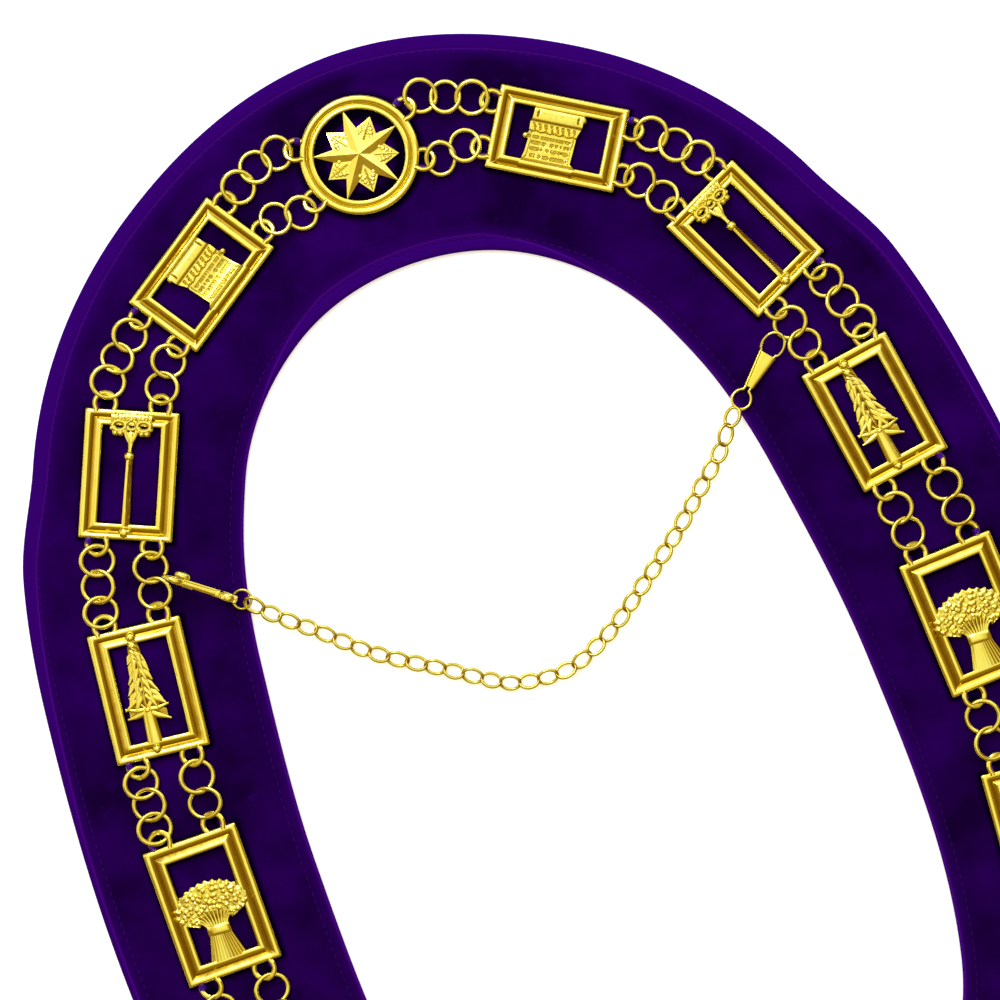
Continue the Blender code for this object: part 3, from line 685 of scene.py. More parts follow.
def corner_point(plaque, row, corner, turn):
    """A point of the moulding on a frame's rounded corner."""
    share, height, browning = row
    radius = CORNER_OUTER * (1 - share) + CORNER_INNER
    x = plaque.half_width - share * plaque.side_rail - radius + radius * math.cos(turn)
    y = plaque.half_length - share * plaque.end_rail - radius + radius * math.sin(turn)
    return Vector((corner[0] * x, corner[1] * y, height * MM))


def rectangular_frame(build, plaque):
    """The moulded frame, with rounded outer corners and mitred mouldings."""
    stops = []
    for k, corner in enumerate(((1, 1), (-1, 1), (-1, -1), (1, -1))):
        turns = spaced(0.0, math.pi / 2, CORNER_STEPS - 1)
        for turn in turns if k % 2 == 0 else reversed(turns):
            stops.append([corner_point(plaque, row, corner, turn) for row in STRAIGHT_MOULDING])
    rings = []
    for k, stop in enumerate(stops):
        rings.append(stop)
        if k % CORNER_STEPS == CORNER_STEPS - 1:
            following = stops[(k + 1) % len(stops)]
            count = max(2, round((following[0] - stop[0]).length / RAIL_STEP))
            for share in spaced(0.0, 1.0, count)[1:-1]:
                rings.append([a.lerp(b, share) for a, b in zip(stop, following)])
    moulded(build, rings, STRAIGHT_MOULDING)


def full_turn(steps):
    """Even angles round a circle."""
    return spaced(0.0, 2 * math.pi, steps)[:-1]


def round_frame(build):
    """The same moulding turned into a ring."""
    rings = []
    for angle in full_turn(ROUND_STEPS):
        turn = Matrix.Rotation(angle, 3, "Z")
        ring = []
        for share, height, browning in ROUND_MOULDING:
            ring.append(turn @ Vector((ROUND_RADIUS - share * ROUND_RAIL, 0.0, height * MM)))
        rings.append(ring)
    moulded(build, rings, ROUND_MOULDING)


def wire(build, path, radius, closed=False, flat=1.0):
    """Round wire along a path; flat stretches it along the way that is up across its line."""
    rings = []
    for i, spot in enumerate(path):
        before = path[i - 1] if i or closed else spot
        after = path[(i + 1) % len(path)] if i < len(path) - 1 or closed else spot
        ahead = (after - before).normalized()
        side = ahead.cross(UP)
        side = side.normalized() if side.length > 0.01 else Vector((1.0, 0.0, 0.0))
        up = flat * side.cross(ahead)
        ring = [spot + radius * (math.cos(a) * side + math.sin(a) * up) for a in full_turn(WIRE_SIDES)]
        rings.append(ring)
    return skin(build, rings, looped=closed)


def bent_eye(build, base, ahead, reach, tilt):
    """An open eye of bent wire on a frame's edge, tilted about its own direction."""
    lateral = Matrix.Rotation(math.radians(tilt), 3, ahead) @ ahead.cross(UP).normalized()
    middle = base + ahead * (reach - EYE_WIRE - EYE_RADIUS) + (METAL_BASE + EYE_HEIGHT) * UP
    path = []
    for turn in spaced(math.radians(-EYE_OPEN), math.radians(180 + EYE_OPEN), 24):
        path.append(middle + EYE_RADIUS * (math.cos(turn) * lateral + math.sin(turn) * ahead))
    wire(build, [path[0] - EYE_ROOT * ahead, *path, path[-1] - EYE_ROOT * ahead], EYE_WIRE)


def eye_foot(medallion, end, lane):
    """The foot of an eye, its direction and its reach on the right half; end -1 is nearer the nape.

    A round medallion's eyes stand out like rays.
    """
    spot, heading = middle_line(medallion.along)
    ahead, across = end * onward(heading), lane * outward(heading)
    if medallion.half_length:
        return spot + ahead * medallion.half_length + across * medallion.eye_offset, ahead, EYE_REACH
    spread = math.radians(ROUND_EYE_ANGLE)
    ray = ahead * math.cos(spread) + across * math.sin(spread)
    return spot + ray * ROUND_RADIUS, ray, EYE_ROUND_REACH


def mirrored(vector, side):
    """The same place on the other half where the side is -1."""
    return Vector((side * vector.x, vector.y, vector.z))


# Rings between the medallions: how far neighbours lap over each other sets how many there are.
RING_RADIUS = 0.00643
RING_WIRE = 0.00102
RING_ACROSS = 2 * (RING_RADIUS + RING_WIRE)
RING_LAP = 0.0043


def strand_ends(low, high, lane):
    """The tips of the two eyes that a strand joins, and their directions."""
    ends = []
    for medallion, end in ((low, 1), (high, -1)):
        foot, ahead, reach = eye_foot(medallion, end, lane)
        ends.append((foot + ahead * reach, ahead))
    return ends


def ring_count(low, high, lane):
    """How many rings join two medallions on one lane."""
    (first, first_ahead), (last, last_ahead) = strand_ends(low, high, lane)
    return round(((last - first).length + RING_LAP) / (RING_ACROSS - RING_LAP))


def ends_of(stop):
    """The ends of a medallion that have eyes: both, but one at the nape and one at the point."""
    return [end for end in (-1, 1) if 0 <= stop + end < len(STOPS)]


def add_eyes(build, stop, side):
    """A medallion's eyes on one side, each tilted against the ring that hangs in it."""
    for end in ends_of(stop):
        for lane in (-1, 1):
            foot, ahead, reach = eye_foot(STOPS[stop], end, lane)
            odd = end < 0 and ring_count(STOPS[stop - 1], STOPS[stop], lane) % 2
            tilt = -side * end * (-EYE_TILT if odd else EYE_TILT)
            bent_eye(build, mirrored(foot, side), mirrored(ahead, side), reach, tilt)


# The emblems are modelled in millimetres from the middle of their frame, where +Y is their head.
BACK = 0.3
# The sides of a raised shape down to its back are brown, a painted shade that outlines it.
EDGE_PAINTED_SHADE = 0.6


def relief(build, rows, back=BACK):
    """A raised shape in millimetres from rows of (x, y, height, brown of patina and painted shade), closed
    to a flat back.
    """
    closed = []
    for row in rows:
        ends = [(row[-1][0], row[-1][1], back, EDGE_PAINTED_SHADE), (row[0][0], row[0][1], back, EDGE_PAINTED_SHADE)]
        closed.append(list(row) + ends)
    rings = [[Vector(spot[:3]) * MM for spot in row] for row in closed]
    shaded(build, skin(build, rings), [[spot[3] for spot in row] for row in closed])


def across_row(y, left, right, columns, face):
    """One row over an emblem at one y; face gives the height and the brown of patina and painted shade at
    (x, y).
    """
    return [(x, y, *face(x, y)) for x in spaced(left, right, columns)]


def panel(build, low, high, steps, middle, half_of, columns, face):
    """A raised shape from one y to another, its half width and its face told by functions."""
    rows = []
    for y in spaced(low, high, steps):
        rows.append(across_row(y, middle - half_of(y), middle + half_of(y), columns, face))
    relief(build, rows)


def arch_row(y, middle, half, base, rise, power, steps, slant=0.0):
    """One row over a rounded bar, straight across or slanting a little."""
    row = []
    for turn in spaced(0.0, math.pi, steps):
        x = middle - half * math.cos(turn)
        row.append((x, y - slant * x, base + rise * math.sin(turn) ** power, 0.0))
    return row


def between(table, key):
    """Read a value between the rows of a short table of (key, value)."""
    for (low, first), (high, second) in zip(table, table[1:]):
        if key <= high:
            return first + (second - first) * max(0.0, (key - low) / (high - low))
    return table[-1][1]


def flat_ring(x, y, z, half_width, half_length, steps):
    """Points round a flat oval whose sizes are in millimetres."""
    ring = []
    for turn in full_turn(steps):
        ring.append(Vector((x + half_width * math.cos(turn), y + half_length * math.sin(turn), z)) * MM)
    return ring


def dome(build, x, y, base, radius, height, sides=12):
    """A half ball in millimetres on the casting's face."""
    rings = []
    for turn in spaced(0.0, math.pi / 2, 5)[:-1]:
        size = radius * math.cos(turn)
        rings.append(flat_ring(x, y, base + height * math.sin(turn), size, size, sides))
    skin(build, rings)


# Across a leaf: the share of its half width, the share of its height and how brown it is; the brown at its
# edges is painted shade.
BLADE_SECTION = (
    (-1.0, 0.45, 1.0), (-0.84, 0.78, 0.4), (-0.56, 0.93, 0.0), (0.0, 1.0, 0.0), (0.56, 0.93, 0.0),
    (0.84, 0.78, 0.4), (1.0, 0.45, 1.0),
)


def blade(build, path, widths, heights, base=BACK):
    """A leaf or ribbon in millimetres with a ridge along its middle."""
    rows = []
    for i, ((x, y), width, height) in enumerate(zip(path, widths, heights)):
        before, after = path[max(0, i - 1)], path[min(len(path) - 1, i + 1)]
        ahead = Vector((after[0] - before[0], after[1] - before[1])).normalized()
        row = []
        for share, rise, shade in BLADE_SECTION:
            off = share * width
            row.append((x + off * ahead.y, y - off * ahead.x, base + (height - base) * rise, shade))
        rows.append(row)
    relief(build, rows, base - 0.02)


# A written scroll, its head towards +X: both outlines across it, as (x, y).
SCROLL_FOOT = -13.2
SCROLL_HEAD = 10.6
SCROLL_NAPE_SIDE = (
    (SCROLL_FOOT, 13.4), (-11.0, 12.6), (-7.5, 11.8), (-2.3, 11.3), (-1.8, 13.4), (-0.6, 13.5), (0.0, 11.5),
    (4.6, 11.7), (6.0, 11.1), (SCROLL_HEAD, 10.8),
)
SCROLL_FAR_SIDE = (
    (SCROLL_FOOT, -7.4), (-11.2, -9.6), (-9.5, -6.9), (2.0, -7.6), (5.5, -9.0), (SCROLL_HEAD, -9.0),
)
SCROLL_LINES = (-1.2, -3.5, -5.8, -8.8)
LINE_HALF = 0.7
RIB_PITCH = 2.3
MARGIN = 0.9
# Where along it the rolled head and foot end, and where the painted shade beside each of them does.
HEAD_END, HEAD_SHADE_END = 5.2, 4.6
FOOT_END, FOOT_SHADE_END = -10.9, -10.3


def scroll_height(y, x):
    """The scroll's face: rolled head and foot, a ribbed band, a sheet with rows of short marks."""
    sheet = 2.05 + 0.22 * math.sin(x * 0.55 + 0.8)
    nape, far = between(SCROLL_NAPE_SIDE, x), between(SCROLL_FAR_SIDE, x)
    lobes = 0.5 + 0.5 * abs(math.sin(y * 0.85 + 0.4))
    rim = min(nape - y, y - far)
    worn = 0.35 * max(0.0, noise.noise(Vector((x * 0.8, y * 0.8, 4.0))))
    # Brown on the scroll is painted shade in the curls at the head's ends, in the strips beside the head and
    # foot, under the lobes, in the ribs' grooves and inside the margin; the marks of the writing are brown
    # too, and worn adds brown at random.
    if x > HEAD_END:
        height = 2.3 + 1.25 * math.sqrt(max(0.0, 1 - ((x - 7.9) / 2.95) ** 2))
        curl = min(abs(y - nape + 1.9), abs(y - far - 1.9))
        hollow = 0.85 * max(0.0, 1 - curl / 0.5) if 6.6 < x < 9.6 else 0.0
        return height - 0.5 * hollow, min(1.0, hollow + worn)
    if x > HEAD_SHADE_END:
        return 2.1, 0.9
    if x > lobes + 0.5:
        rib = math.sin(2 * math.pi * y / RIB_PITCH + 0.6 * math.sin(x))
        rib += noise.noise(Vector((y * 0.9, x * 0.5, 9.0)))
        return (2.35, 0.85) if rib > 0.25 and 1.6 < x < 4.2 and rim > 1.0 else (2.7, worn)
    if x > lobes:
        return 2.0, 0.9
    if x < FOOT_END:
        return 1.6 + 1.2 * math.sqrt(max(0.0, 1 - ((x + 12.1) / 1.3) ** 2)), 0.0
    if x < FOOT_SHADE_END:
        return 1.8, 0.7
    if rim < MARGIN:
        return sheet + 0.3, 0.0
    if rim < MARGIN + 0.35:
        return sheet, 0.6
    for k, line in enumerate(SCROLL_LINES):
        dash = noise.noise(Vector((y * 0.95, k * 5.3, 1.0)))
        if abs(x - line) < LINE_HALF and dash > -0.18 and rim > 1.7:
            stroke = noise.noise(Vector((y * 2.6, x * 1.9, k * 2.0)))
            return sheet - 0.2, 0.45 + 0.55 * max(0.0, min(1.0, 0.7 + 3.0 * stroke))
    return sheet, worn


def scroll(build, side):
    """The scroll, from its foot to its head, and the curls at its two ends."""
    rows = []
    for x in spaced(SCROLL_FOOT, SCROLL_HEAD, 99):
        row = across_row(x, between(SCROLL_NAPE_SIDE, x), between(SCROLL_FAR_SIDE, x), 64, scroll_height)
        rows.append([(x, side * y, height, hollow) for y, x, height, hollow in row])
    relief(build, rows)
    dome(build, -1.2, side * 12.6, 1.6, 1.4, 1.6)
    dome(build, 8.6, side * -9.0, 1.6, 1.5, 1.9)


# The sceptre's shaft, and the balls of its arms and of the beaded bar's two rows.
SHAFT_LOW = -20.4
SHAFT_HIGH = 7.0
SHAFT_TAPER = 26.5
ARM_BALLS = ((4.2, 16.7, 1.7), (6.3, 16.7, 1.7), (7.7, 18.4, 1.3), (7.6, 20.6, 1.1), (2.9, 17.4, 1.1))
BAR_BEADS = 11


def sceptre_height(x, y):
    """A shaft with a smooth bright face on one side and a twisted one on the other, which is painted brown
    all over, a painted shade, and browner in the grooves of its twist.
    """
    share = x / (1.15 + 0.5 * (SHAFT_HIGH - y) / SHAFT_TAPER)
    if share < -0.15:
        return 3.25 + 0.45 * (share + 0.15), 0.0
    twist = math.sin(2 * math.pi * (y + 0.9 * x) / 1.05)
    return 3.0 - 0.9 * share + 0.22 * twist, 0.62 - 0.38 * twist


def sceptre(build, side):
    """Shaft, bead, neck, two arms, a crown of three loops under a beaded bar, and end balls."""
    panel(
        build, SHAFT_LOW, SHAFT_HIGH, 106, 0.0, lambda y: 1.1 + 0.45 * (SHAFT_HIGH - y) / SHAFT_TAPER, 14,
        sceptre_height,
    )
    dome(build, -0.3, 7.4, 1.4, 2.3, 2.3, 16)
    dome(build, -0.6, -23.0, 1.4, 2.3, 2.2, 16)
    dome(build, 1.2, -22.2, 1.4, 1.5, 1.9, 16)
    blade(build, [(-0.2, 8.6), (-0.1, 10.6), (0, 13.0)], [1.1, 0.95, 1.6], [2.7, 2.7, 3.0])
    blade(build, [(0, 12.6), (0, 14.8), (0, 17.2)], [1.3, 2.2, 1.2], [3.0, 3.3, 2.9])
    for hand in (-1, 1):
        arm = [(0.6 * hand, 13.2), (1.7 * hand, 15.6), (2.4 * hand, 18.4)]
        blade(build, arm, [0.9, 1.0, 0.9], [3.1, 3.4, 3.2])
        wire(build, flat_ring(4.9 * hand, 19.6, 2.4, 2.6, 1.9, 24), 1.05 * MM, closed=True)
        for x, y, size in ARM_BALLS:
            dome(build, hand * x, y, 1.2, size, 2.2)
    wire(build, flat_ring(0.0, 19.9, 2.3, 2.1, 1.8, 24), 0.85 * MM, closed=True)
    blade(build, [(-8.0, 22.9), (0.0, 23.2), (8.0, 22.9)], [1.5, 1.7, 1.5], [3.0, 3.2, 3.0], 0.6)
    for k, x in enumerate(spaced(-7.5, 7.5, BAR_BEADS - 1)):
        dome(build, x, 22.3 + 0.5 * math.sin(k * 2.4), 2.2, 0.95 + 0.3 * math.sin(k * 1.7), 1.3, 10)
        dome(build, x + 0.6, 24.0 - 0.5 * (k % 2), 1.9, 0.85, 1.3, 8)


# The sword's middle and its half widths, as (y, half width): the veil's bed and the bound hilt.
SWORD_X = -2.0
VEIL_BED = ((-7.4, 4.6), (-4.0, 5.4), (2.0, 4.2), (10.0, 3.2), (19.6, 2.0))
HILT_HALF = ((12.4, 2.3), (15.5, 1.9), (18.0, 1.5), (21.4, 1.7))
# Leaf tiers of the sword's veil, from the top: the tier's y, its half width and its leaves' length.
VEIL_TIERS = (
    (15.6, 3.3, 4.8), (12.2, 4.1, 5.4), (8.6, 4.9, 5.8), (4.8, 5.9, 6.2), (0.8, 7.2, 6.6), (-2.2, 8.2, 5.2),
)
# Ribs that gather at the knot: where each one's tip lies, its greatest half width and its height.
VEIL_RIBS = (
    ((-4.4, 6.0), 0.55, 3.1), ((-8.2, -1.2), 0.6, 2.8), ((2.0, -1.8), 1.3, 3.0), ((-1.6, 14.0), 0.5, 3.2),
)


def hilt_height(x, y):
    """A hilt bound with cord that winds round it, browner in the cord's grooves with patina and painted
    shade.
    """
    off = x - SWORD_X
    share = min(1.0, abs(off) / 2.2)
    cord = math.sin(2 * math.pi * (y + 0.8 * off) / 1.9)
    return 1.5 + 1.5 * math.sqrt(1 - share * share) + 0.25 * cord, 0.4 - 0.4 * cord


def veil_leaf(build, tier, hand, k, share):
    """One leaf of the veil; each sways and broadens a little in its own way."""
    y, half, length = VEIL_TIERS[tier]
    sway = math.sin(2.3 * tier + 1.7 * k + 0.9 * hand)
    drop = length * (0.84 + 0.20 * (1 - share) + 0.10 * sway)
    foot = (SWORD_X + hand * 0.5 * share, y + 0.9)
    middle = (SWORD_X + hand * half * share * 0.62, y - length * 0.30)
    tip = (SWORD_X + hand * half * share + 0.35 * sway, y - drop)
    top = 2.55 + 0.35 * k + 0.06 * tier
    broad = 1.45 + 0.30 * math.sin(1.9 * tier + 2.6 * k - hand)
    blade(build, [foot, middle, tip], [0.8, broad, 0.3], [top, top + 0.20, top - 0.10], 1.3)


def sword(build, side):
    """A hilt under a veil of leaves in tiers, tied with a ribbon above the smooth handle."""
    c = SWORD_X
    rows = []
    for share in spaced(0, 1, 39):
        rows.append(arch_row(-20.6 + 14.0 * share, c, 3.35 - 0.75 * share, 0.8, 2.5, 0.72, 16))
    relief(build, rows)
    dome(build, c, -23.3, 1.3, 2.0, 2.3, 16)
    # The veil's bed is brown, a painted shade in the gaps between its leaves.
    panel(
        build, VEIL_BED[0][0], VEIL_BED[-1][0], 59, c, lambda y: between(VEIL_BED, y), 24,
        lambda x, y: (1.8 + 0.1 * math.sin(x * 4 + y * 3), 0.95),
    )
    for tier in range(len(VEIL_TIERS)):
        for hand in (-1, 1):
            for k, share in enumerate((1.0, 0.52)):
                veil_leaf(build, tier, hand, k, share)
    for tip, broad, top in VEIL_RIBS:
        middle = ((tip[0] + c) / 2 - 0.1 * tip[0], (tip[1] - 7.4) / 2)
        blade(build, [(c, -7.2), middle, tip], [0.45, broad, 0.3], [3.3, top + 0.3, top], 1.3)
    for hand in (-1, 1):
        drop = 1.5 * hand
        # The web between each pair of ribbon tails is brown, a painted shade between them.
        web = (
            (c, -7.6, 1.0), (c + 4.4 * hand, -8.0 - 0.5 * drop, 1.7), (c + 7.4 * hand, -8.6 - drop, 1.9),
        )
        rows = []
        for x, y, half in web:
            rows.append([(x, y + half, 2.0, 0.5), (x, y, 1.7, 0.95), (x, y - half, 2.0, 0.5)][::hand])
        relief(build, rows)
        upper = [(c, -7.0), (c + 4.2 * hand, -7.1 - 0.2 * drop), (c + 8.7 * hand, -5.9 - 0.4 * drop)]
        lower = [(c, -7.9), (c + 4.2 * hand, -9.6 - 0.5 * drop), (c + 8.5 * hand, -11.0 - drop)]
        blade(build, upper, [1.1, 1.15, 0.4], [3.1, 2.9, 2.3], 1.2)
        blade(build, lower, [1.1, 1.35, 0.4], [3.0, 2.9, 2.4], 1.2)
    dome(build, c, -7.4, 1.6, 1.7, 2.0, 14)
    panel(
        build, HILT_HALF[0][0], HILT_HALF[-1][0], 60, c, lambda y: between(HILT_HALF, y), 16, hilt_height
    )
    dome(build, c, 22.3, 1.6, 2.25, 2.3, 16)
    dome(build, c - 0.2, 18.9, 1.6, 1.9, 1.8, 14)


# The sheaf's fan about the band's middle: its reach in millimetres at each lean in degrees.
FAN_X = -0.5
FAN_Y = -9.8
FAN_START = 7.4
FAN_REACH = (
    (-66.0, 15.6), (-60.0, 17.4), (-50.0, 18.9), (-35.0, 19.6), (0.0, 19.8), (35.0, 19.6), (50.0, 18.9),
    (60.0, 17.4), (66.0, 15.6),
)
PEBBLE = 1.8
PEBBLE_LAYER = 7.4


def fan_point(lean, share):
    """A point of the fan of ears: pebbles that round off to its rim, brown in the gaps between with patina
    and painted shade.
    """
    reach = between(FAN_REACH, lean) + 0.4 * math.sin(lean * 0.72)
    radius = FAN_START + (reach - FAN_START) * share
    x, y = FAN_X + radius * math.sin(math.radians(lean)), FAN_Y + radius * math.cos(math.radians(lean))
    near = noise.voronoi(Vector((x / PEBBLE, y / PEBBLE, PEBBLE_LAYER)), distance_metric="DISTANCE")[0]
    pebble = max(0.0, 1 - (near[0] / 0.62) ** 2)
    edge = math.sqrt(max(0.0, min(1.0, 5.0 * (1 - share), 4.0 * (share + 0.12))))
    height = 1.6 + (1.0 + 0.48 * pebble) * (0.35 + 0.65 * edge)
    return x, y, height, max(0.0, 0.8 - 5.5 * (near[1] - near[0]))


def stalk_face(share):
    """The height and brown across the grooved stalks below the band: their right part is painted browner, a
    painted shade, so they are brighter on their left.
    """
    shade = max(0.0, min(1.0, 2.2 * (share + 0.15)))
    groove = 0.5 + 0.5 * math.cos(share * math.pi * 11)
    height = 0.9 + 1.7 * (1 - share ** 2) ** 0.35 + 0.16 * groove * (0.35 + 0.65 * shade)
    return height, (0.12 + 0.80 * shade) * (1 - groove) + 0.2 * shade


def sheaf(build, side):
    """A sheaf of grain: grooved stalks that flare from a band, and a pebbled fan of ears."""
    leans = spaced(FAN_REACH[0][0], FAN_REACH[-1][0], 100)
    relief(build, [[fan_point(lean, share) for share in spaced(0, 1, 52)] for lean in leans])
    # The ground between the stalks where they flare is brown, a painted shade between them.
    panel(
        build, FAN_Y, FAN_Y + 8.4, 11, FAN_X, lambda y: 4.0 + 3.4 * ((y - FAN_Y) / 8.4) ** 1.6, 12,
        lambda x, y: (1.5, 0.7),
    )
    for lean in spaced(-62.0, 62.0, 10):
        lean = math.radians(lean)
        foot = Vector((FAN_X + 3.9 * math.sin(lean * 1.2), FAN_Y + 0.6))
        bow = Vector((FAN_X + 4.6 * math.sin(lean * 1.1), FAN_Y + 5.0))
        tip = Vector((FAN_X + 10.8 * math.sin(lean), FAN_Y + 10.8 * math.cos(lean)))
        path = [foot * (1 - t) ** 2 + bow * 2 * t * (1 - t) + tip * t * t for t in spaced(0, 1, 8)]
        blade(build, path, [0.62] * 7 + [0.7, 0.5], [2.6] * 4 + [2.8] * 4 + [2.5], 1.2)
    rows = []
    for y in spaced(-22.0, FAN_Y, 45):
        half = 4.3 + 3.9 * max(0.0, (FAN_Y - y) / 13.6) ** 1.1
        rows.append([(FAN_X + share * half, y, *stalk_face(share)) for share in spaced(-1.0, 1.0, 60)])
    relief(build, rows)
    rows = []
    for k in spaced(-6, 6, 12):
        bulge = math.sqrt(max(0.0, 1 - (k / 6.3) ** 2))
        rows.append(arch_row(FAN_Y + 0.35 * k, FAN_X, 4.9, 1.2, 1.4 + 0.9 * bulge, 0.6, 20, 0.08))
    relief(build, rows)


# Two stars, one on the other: the tip's and the valley's radius, the foot, the rim, the apex and
# the turn in degrees. Then the buds on the lower one's arms: radius, lean in degrees and size.
STARS = ((15.8, 9.6, 0.2, 1.3, 3.0, 36.0), (18.7, 6.8, 0.4, 1.5, 4.3, 0.0))
STAR_BUDS = (
    (12.4, 4.0, 0.8), (12.2, -4.3, 0.75), (11.0, 7.8, 1.0), (11.1, -8.2, 0.95), (9.6, 13, 1.15),
    (9.7, -12, 1.1), (8.6, 19, 0.95), (8.5, -19, 1.0), (10.1, 4.6, 0.9), (9.2, -6.0, 0.85),
)


def polar(radius, degrees):
    """A flat point at a distance and a direction from the middle."""
    return radius * math.cos(math.radians(degrees)), radius * math.sin(math.radians(degrees))


def star(build):
    """Two faceted stars: a broad one with buds below and a plain one with long arms above."""
    for tip, valley, foot, rim, apex, turn in STARS:
        corners = [polar(valley if k % 2 else tip, 90 + turn + 36 * k) for k in range(10)]
        rings = [[Vector((x, y, height)) * MM for x, y in corners] for height in (foot, rim)]
        low, high = skin(build, rings, capped=False)
        peak = build.verts.new(Vector((0.0, 0.0, apex)) * MM)
        for k in range(10):
            build.faces.new((high[k], high[(k + 1) % 10], peak))
        build.faces.new(low)
    for arm in range(126, 486, 72):
        ridge = [polar(radius, arm) for radius in (6.0, 10.0, 15.0)]
        blade(build, ridge, [0.5, 0.6, 0.25], [3.0, 2.7, 1.7], 1.2)
        for radius, lean, size in STAR_BUDS:
            dome(build, *polar(radius, arm + lean), 1.2 + 0.10 * (13 - radius), size, 0.55)


EMBLEMS = {"scroll": scroll, "sceptre": sceptre, "sword": sword, "sheaf": sheaf}
CAST_CREASE = 32
for stop, plaque in enumerate(PLAQUES, 1):
    for word, side in (("left", -1), ("right", 1)):
        body = casting()
        rectangular_frame(body, plaque)
        if plaque.name in EMBLEMS:
            EMBLEMS[plaque.name](body, side)
        body.transform(placed(plaque.along, side, plaque.name == "scroll" and side < 0))
        add_eyes(body, stop, side)
        name = "_".join((word, plaque.name, "plaque"))
        finished(name + "_casting", body, gilt_castings, [name], CAST_CREASE)

for name, stop in (("star_medallion", 0), ("point_medallion", len(STOPS) - 1)):
    body = casting()
    round_frame(body)
    if name == "star_medallion":
        star(body)
    body.transform(Matrix.Translation((0.0, middle_line(STOPS[stop].along)[0].y, METAL_BASE)))
    for side in (-1, 1):
        add_eyes(body, stop, side)
    finished(name + "_casting", body, gilt_castings, [name], CAST_CREASE)

# The velvet's own map gives every place beside its casting, in millimetres and scaled to one frame size, so
# that the cloth can carry a painted shadow beside each casting; the shadow is shifted a little to the lower
# right.
SHADOW_SHIFT = Vector((0.00016, -0.00030, 0.0))
shadow_casters = []
for medallion in STOPS:
    for side in (-1, 1) if medallion.half_length else (1,):
        pose = placed(medallion.along, side)
        shadow_casters.append((pose.translation.copy(), pose.inverted(), medallion))
cloth_mesh = collar.data
shadow_uv = cloth_mesh.uv_layers.new(name="by_casting")
for face in cloth_mesh.polygons:
    spot, inverse, medallion = min(shadow_casters, key=lambda bed: (bed[0] - face.center).length_squared)
    for corner in face.loop_indices:
        place = inverse @ (cloth_mesh.vertices[cloth_mesh.loops[corner].vertex_index].co - SHADOW_SHIFT)
        u, v = place.x, 0.0
        if medallion.half_length:
            v = FRAME_EDGE[1] * place.y / medallion.half_length
        else:
            u = place.xy.length
        shadow_uv.data[corner].uv = (FRAME_EDGE[0] * u / medallion.half_width, v)

# ---------------------------------------------------------------- thread ties
# Purple thread wound a few times round the outboard foot of every eye and sewn down through the
# velvet; it is what holds the chain on the collar. A wrap is a loop drawn down to the cloth.
TIE_COLOUR = (0.085, 0.003, 0.420)
TIE_SHADE = (0.040, 0.001, 0.200)
TIE_WRAPS = 4
TIE_START = 0.0004
TIE_END = 0.0022
TIE_HALF_WIDTH = 0.0012
TIE_HALF_HEIGHT = 0.0019
TIE_THREAD = 0.0003
TIE_DROP = 0.0007
EYE_FOOT = EYE_RADIUS * math.cos(math.radians(EYE_OPEN))


def wire_loop(tree, half_width, half_height, wire_radius, steps, sides):
    """A closed oval loop of wire in the XY plane, its sizes read from sockets."""
    loop, section = (
        out_of(tree, "GeometryNodeCurvePrimitiveCircle", mode="RADIUS", Resolution=count, Radius=radius)
        for count, radius in ((steps, 1.0), (sides, wire_radius))
    )
    shape = out_of(tree, "ShaderNodeCombineXYZ", X=half_width, Y=half_height, Z=1.0)
    oval = out_of(tree, "GeometryNodeTransform", Geometry=loop, Scale=shape)
    return out_of(tree, "GeometryNodeCurveToMesh", Curve=oval, Profile_Curve=section)


def turned(tree, rotation, euler):
    """A rotation with another put before it, about the instance's own axes."""
    more = out_of(tree, "FunctionNodeEulerToRotation", Euler=euler)
    settings = {"rotation_space": "LOCAL", "Rotation": rotation, "Rotate_By": more}
    return out_of(tree, "FunctionNodeRotateRotation", **settings)


tie_thread = thread_material("tie_thread", TIE_SHADE, TIE_COLOUR, 0.6, 0.15)
tie_tree, given, result = path_tree("thread_tie", "Count", "Half Width", "Half Height", "Thread")
points, lie = along_path(tie_tree, given)
upright = turned(tie_tree, lie, (math.pi / 2, 0.0, math.pi / 2))
wrap = wire_loop(tie_tree, given["Half Width"], given["Half Height"], given["Thread"], 14, 6)
planted(tie_tree, given, result, points, wrap, Rotation=upright)

tie_paths = []
for stop, medallion in enumerate(STOPS):
    away = outward(middle_line(medallion.along)[1])
    for side in (-1, 1):
        for end in ends_of(stop):
            for lane in (-1, 1):
                foot, ahead, reach = eye_foot(medallion, end, lane)
                across = Vector((ahead.y, -ahead.x, 0.0))
                across *= math.copysign(1.0, across.dot(away) * lane)
                start = foot + EYE_FOOT * across + (METAL_BASE + EYE_HEIGHT - TIE_DROP) * UP
                tie_paths.append([mirrored(start + ahead * d, side) for d in (TIE_START, TIE_END)])
tie_mesh = grown(
    tie_paths, tie_tree, Material=tie_thread, Count=TIE_WRAPS, Half_Width=TIE_HALF_WIDTH,
    Half_Height=TIE_HALF_HEIGHT, Thread=TIE_THREAD,
)
dressed("thread_ties", tie_mesh, tie_thread, [], THREAD_CREASE)

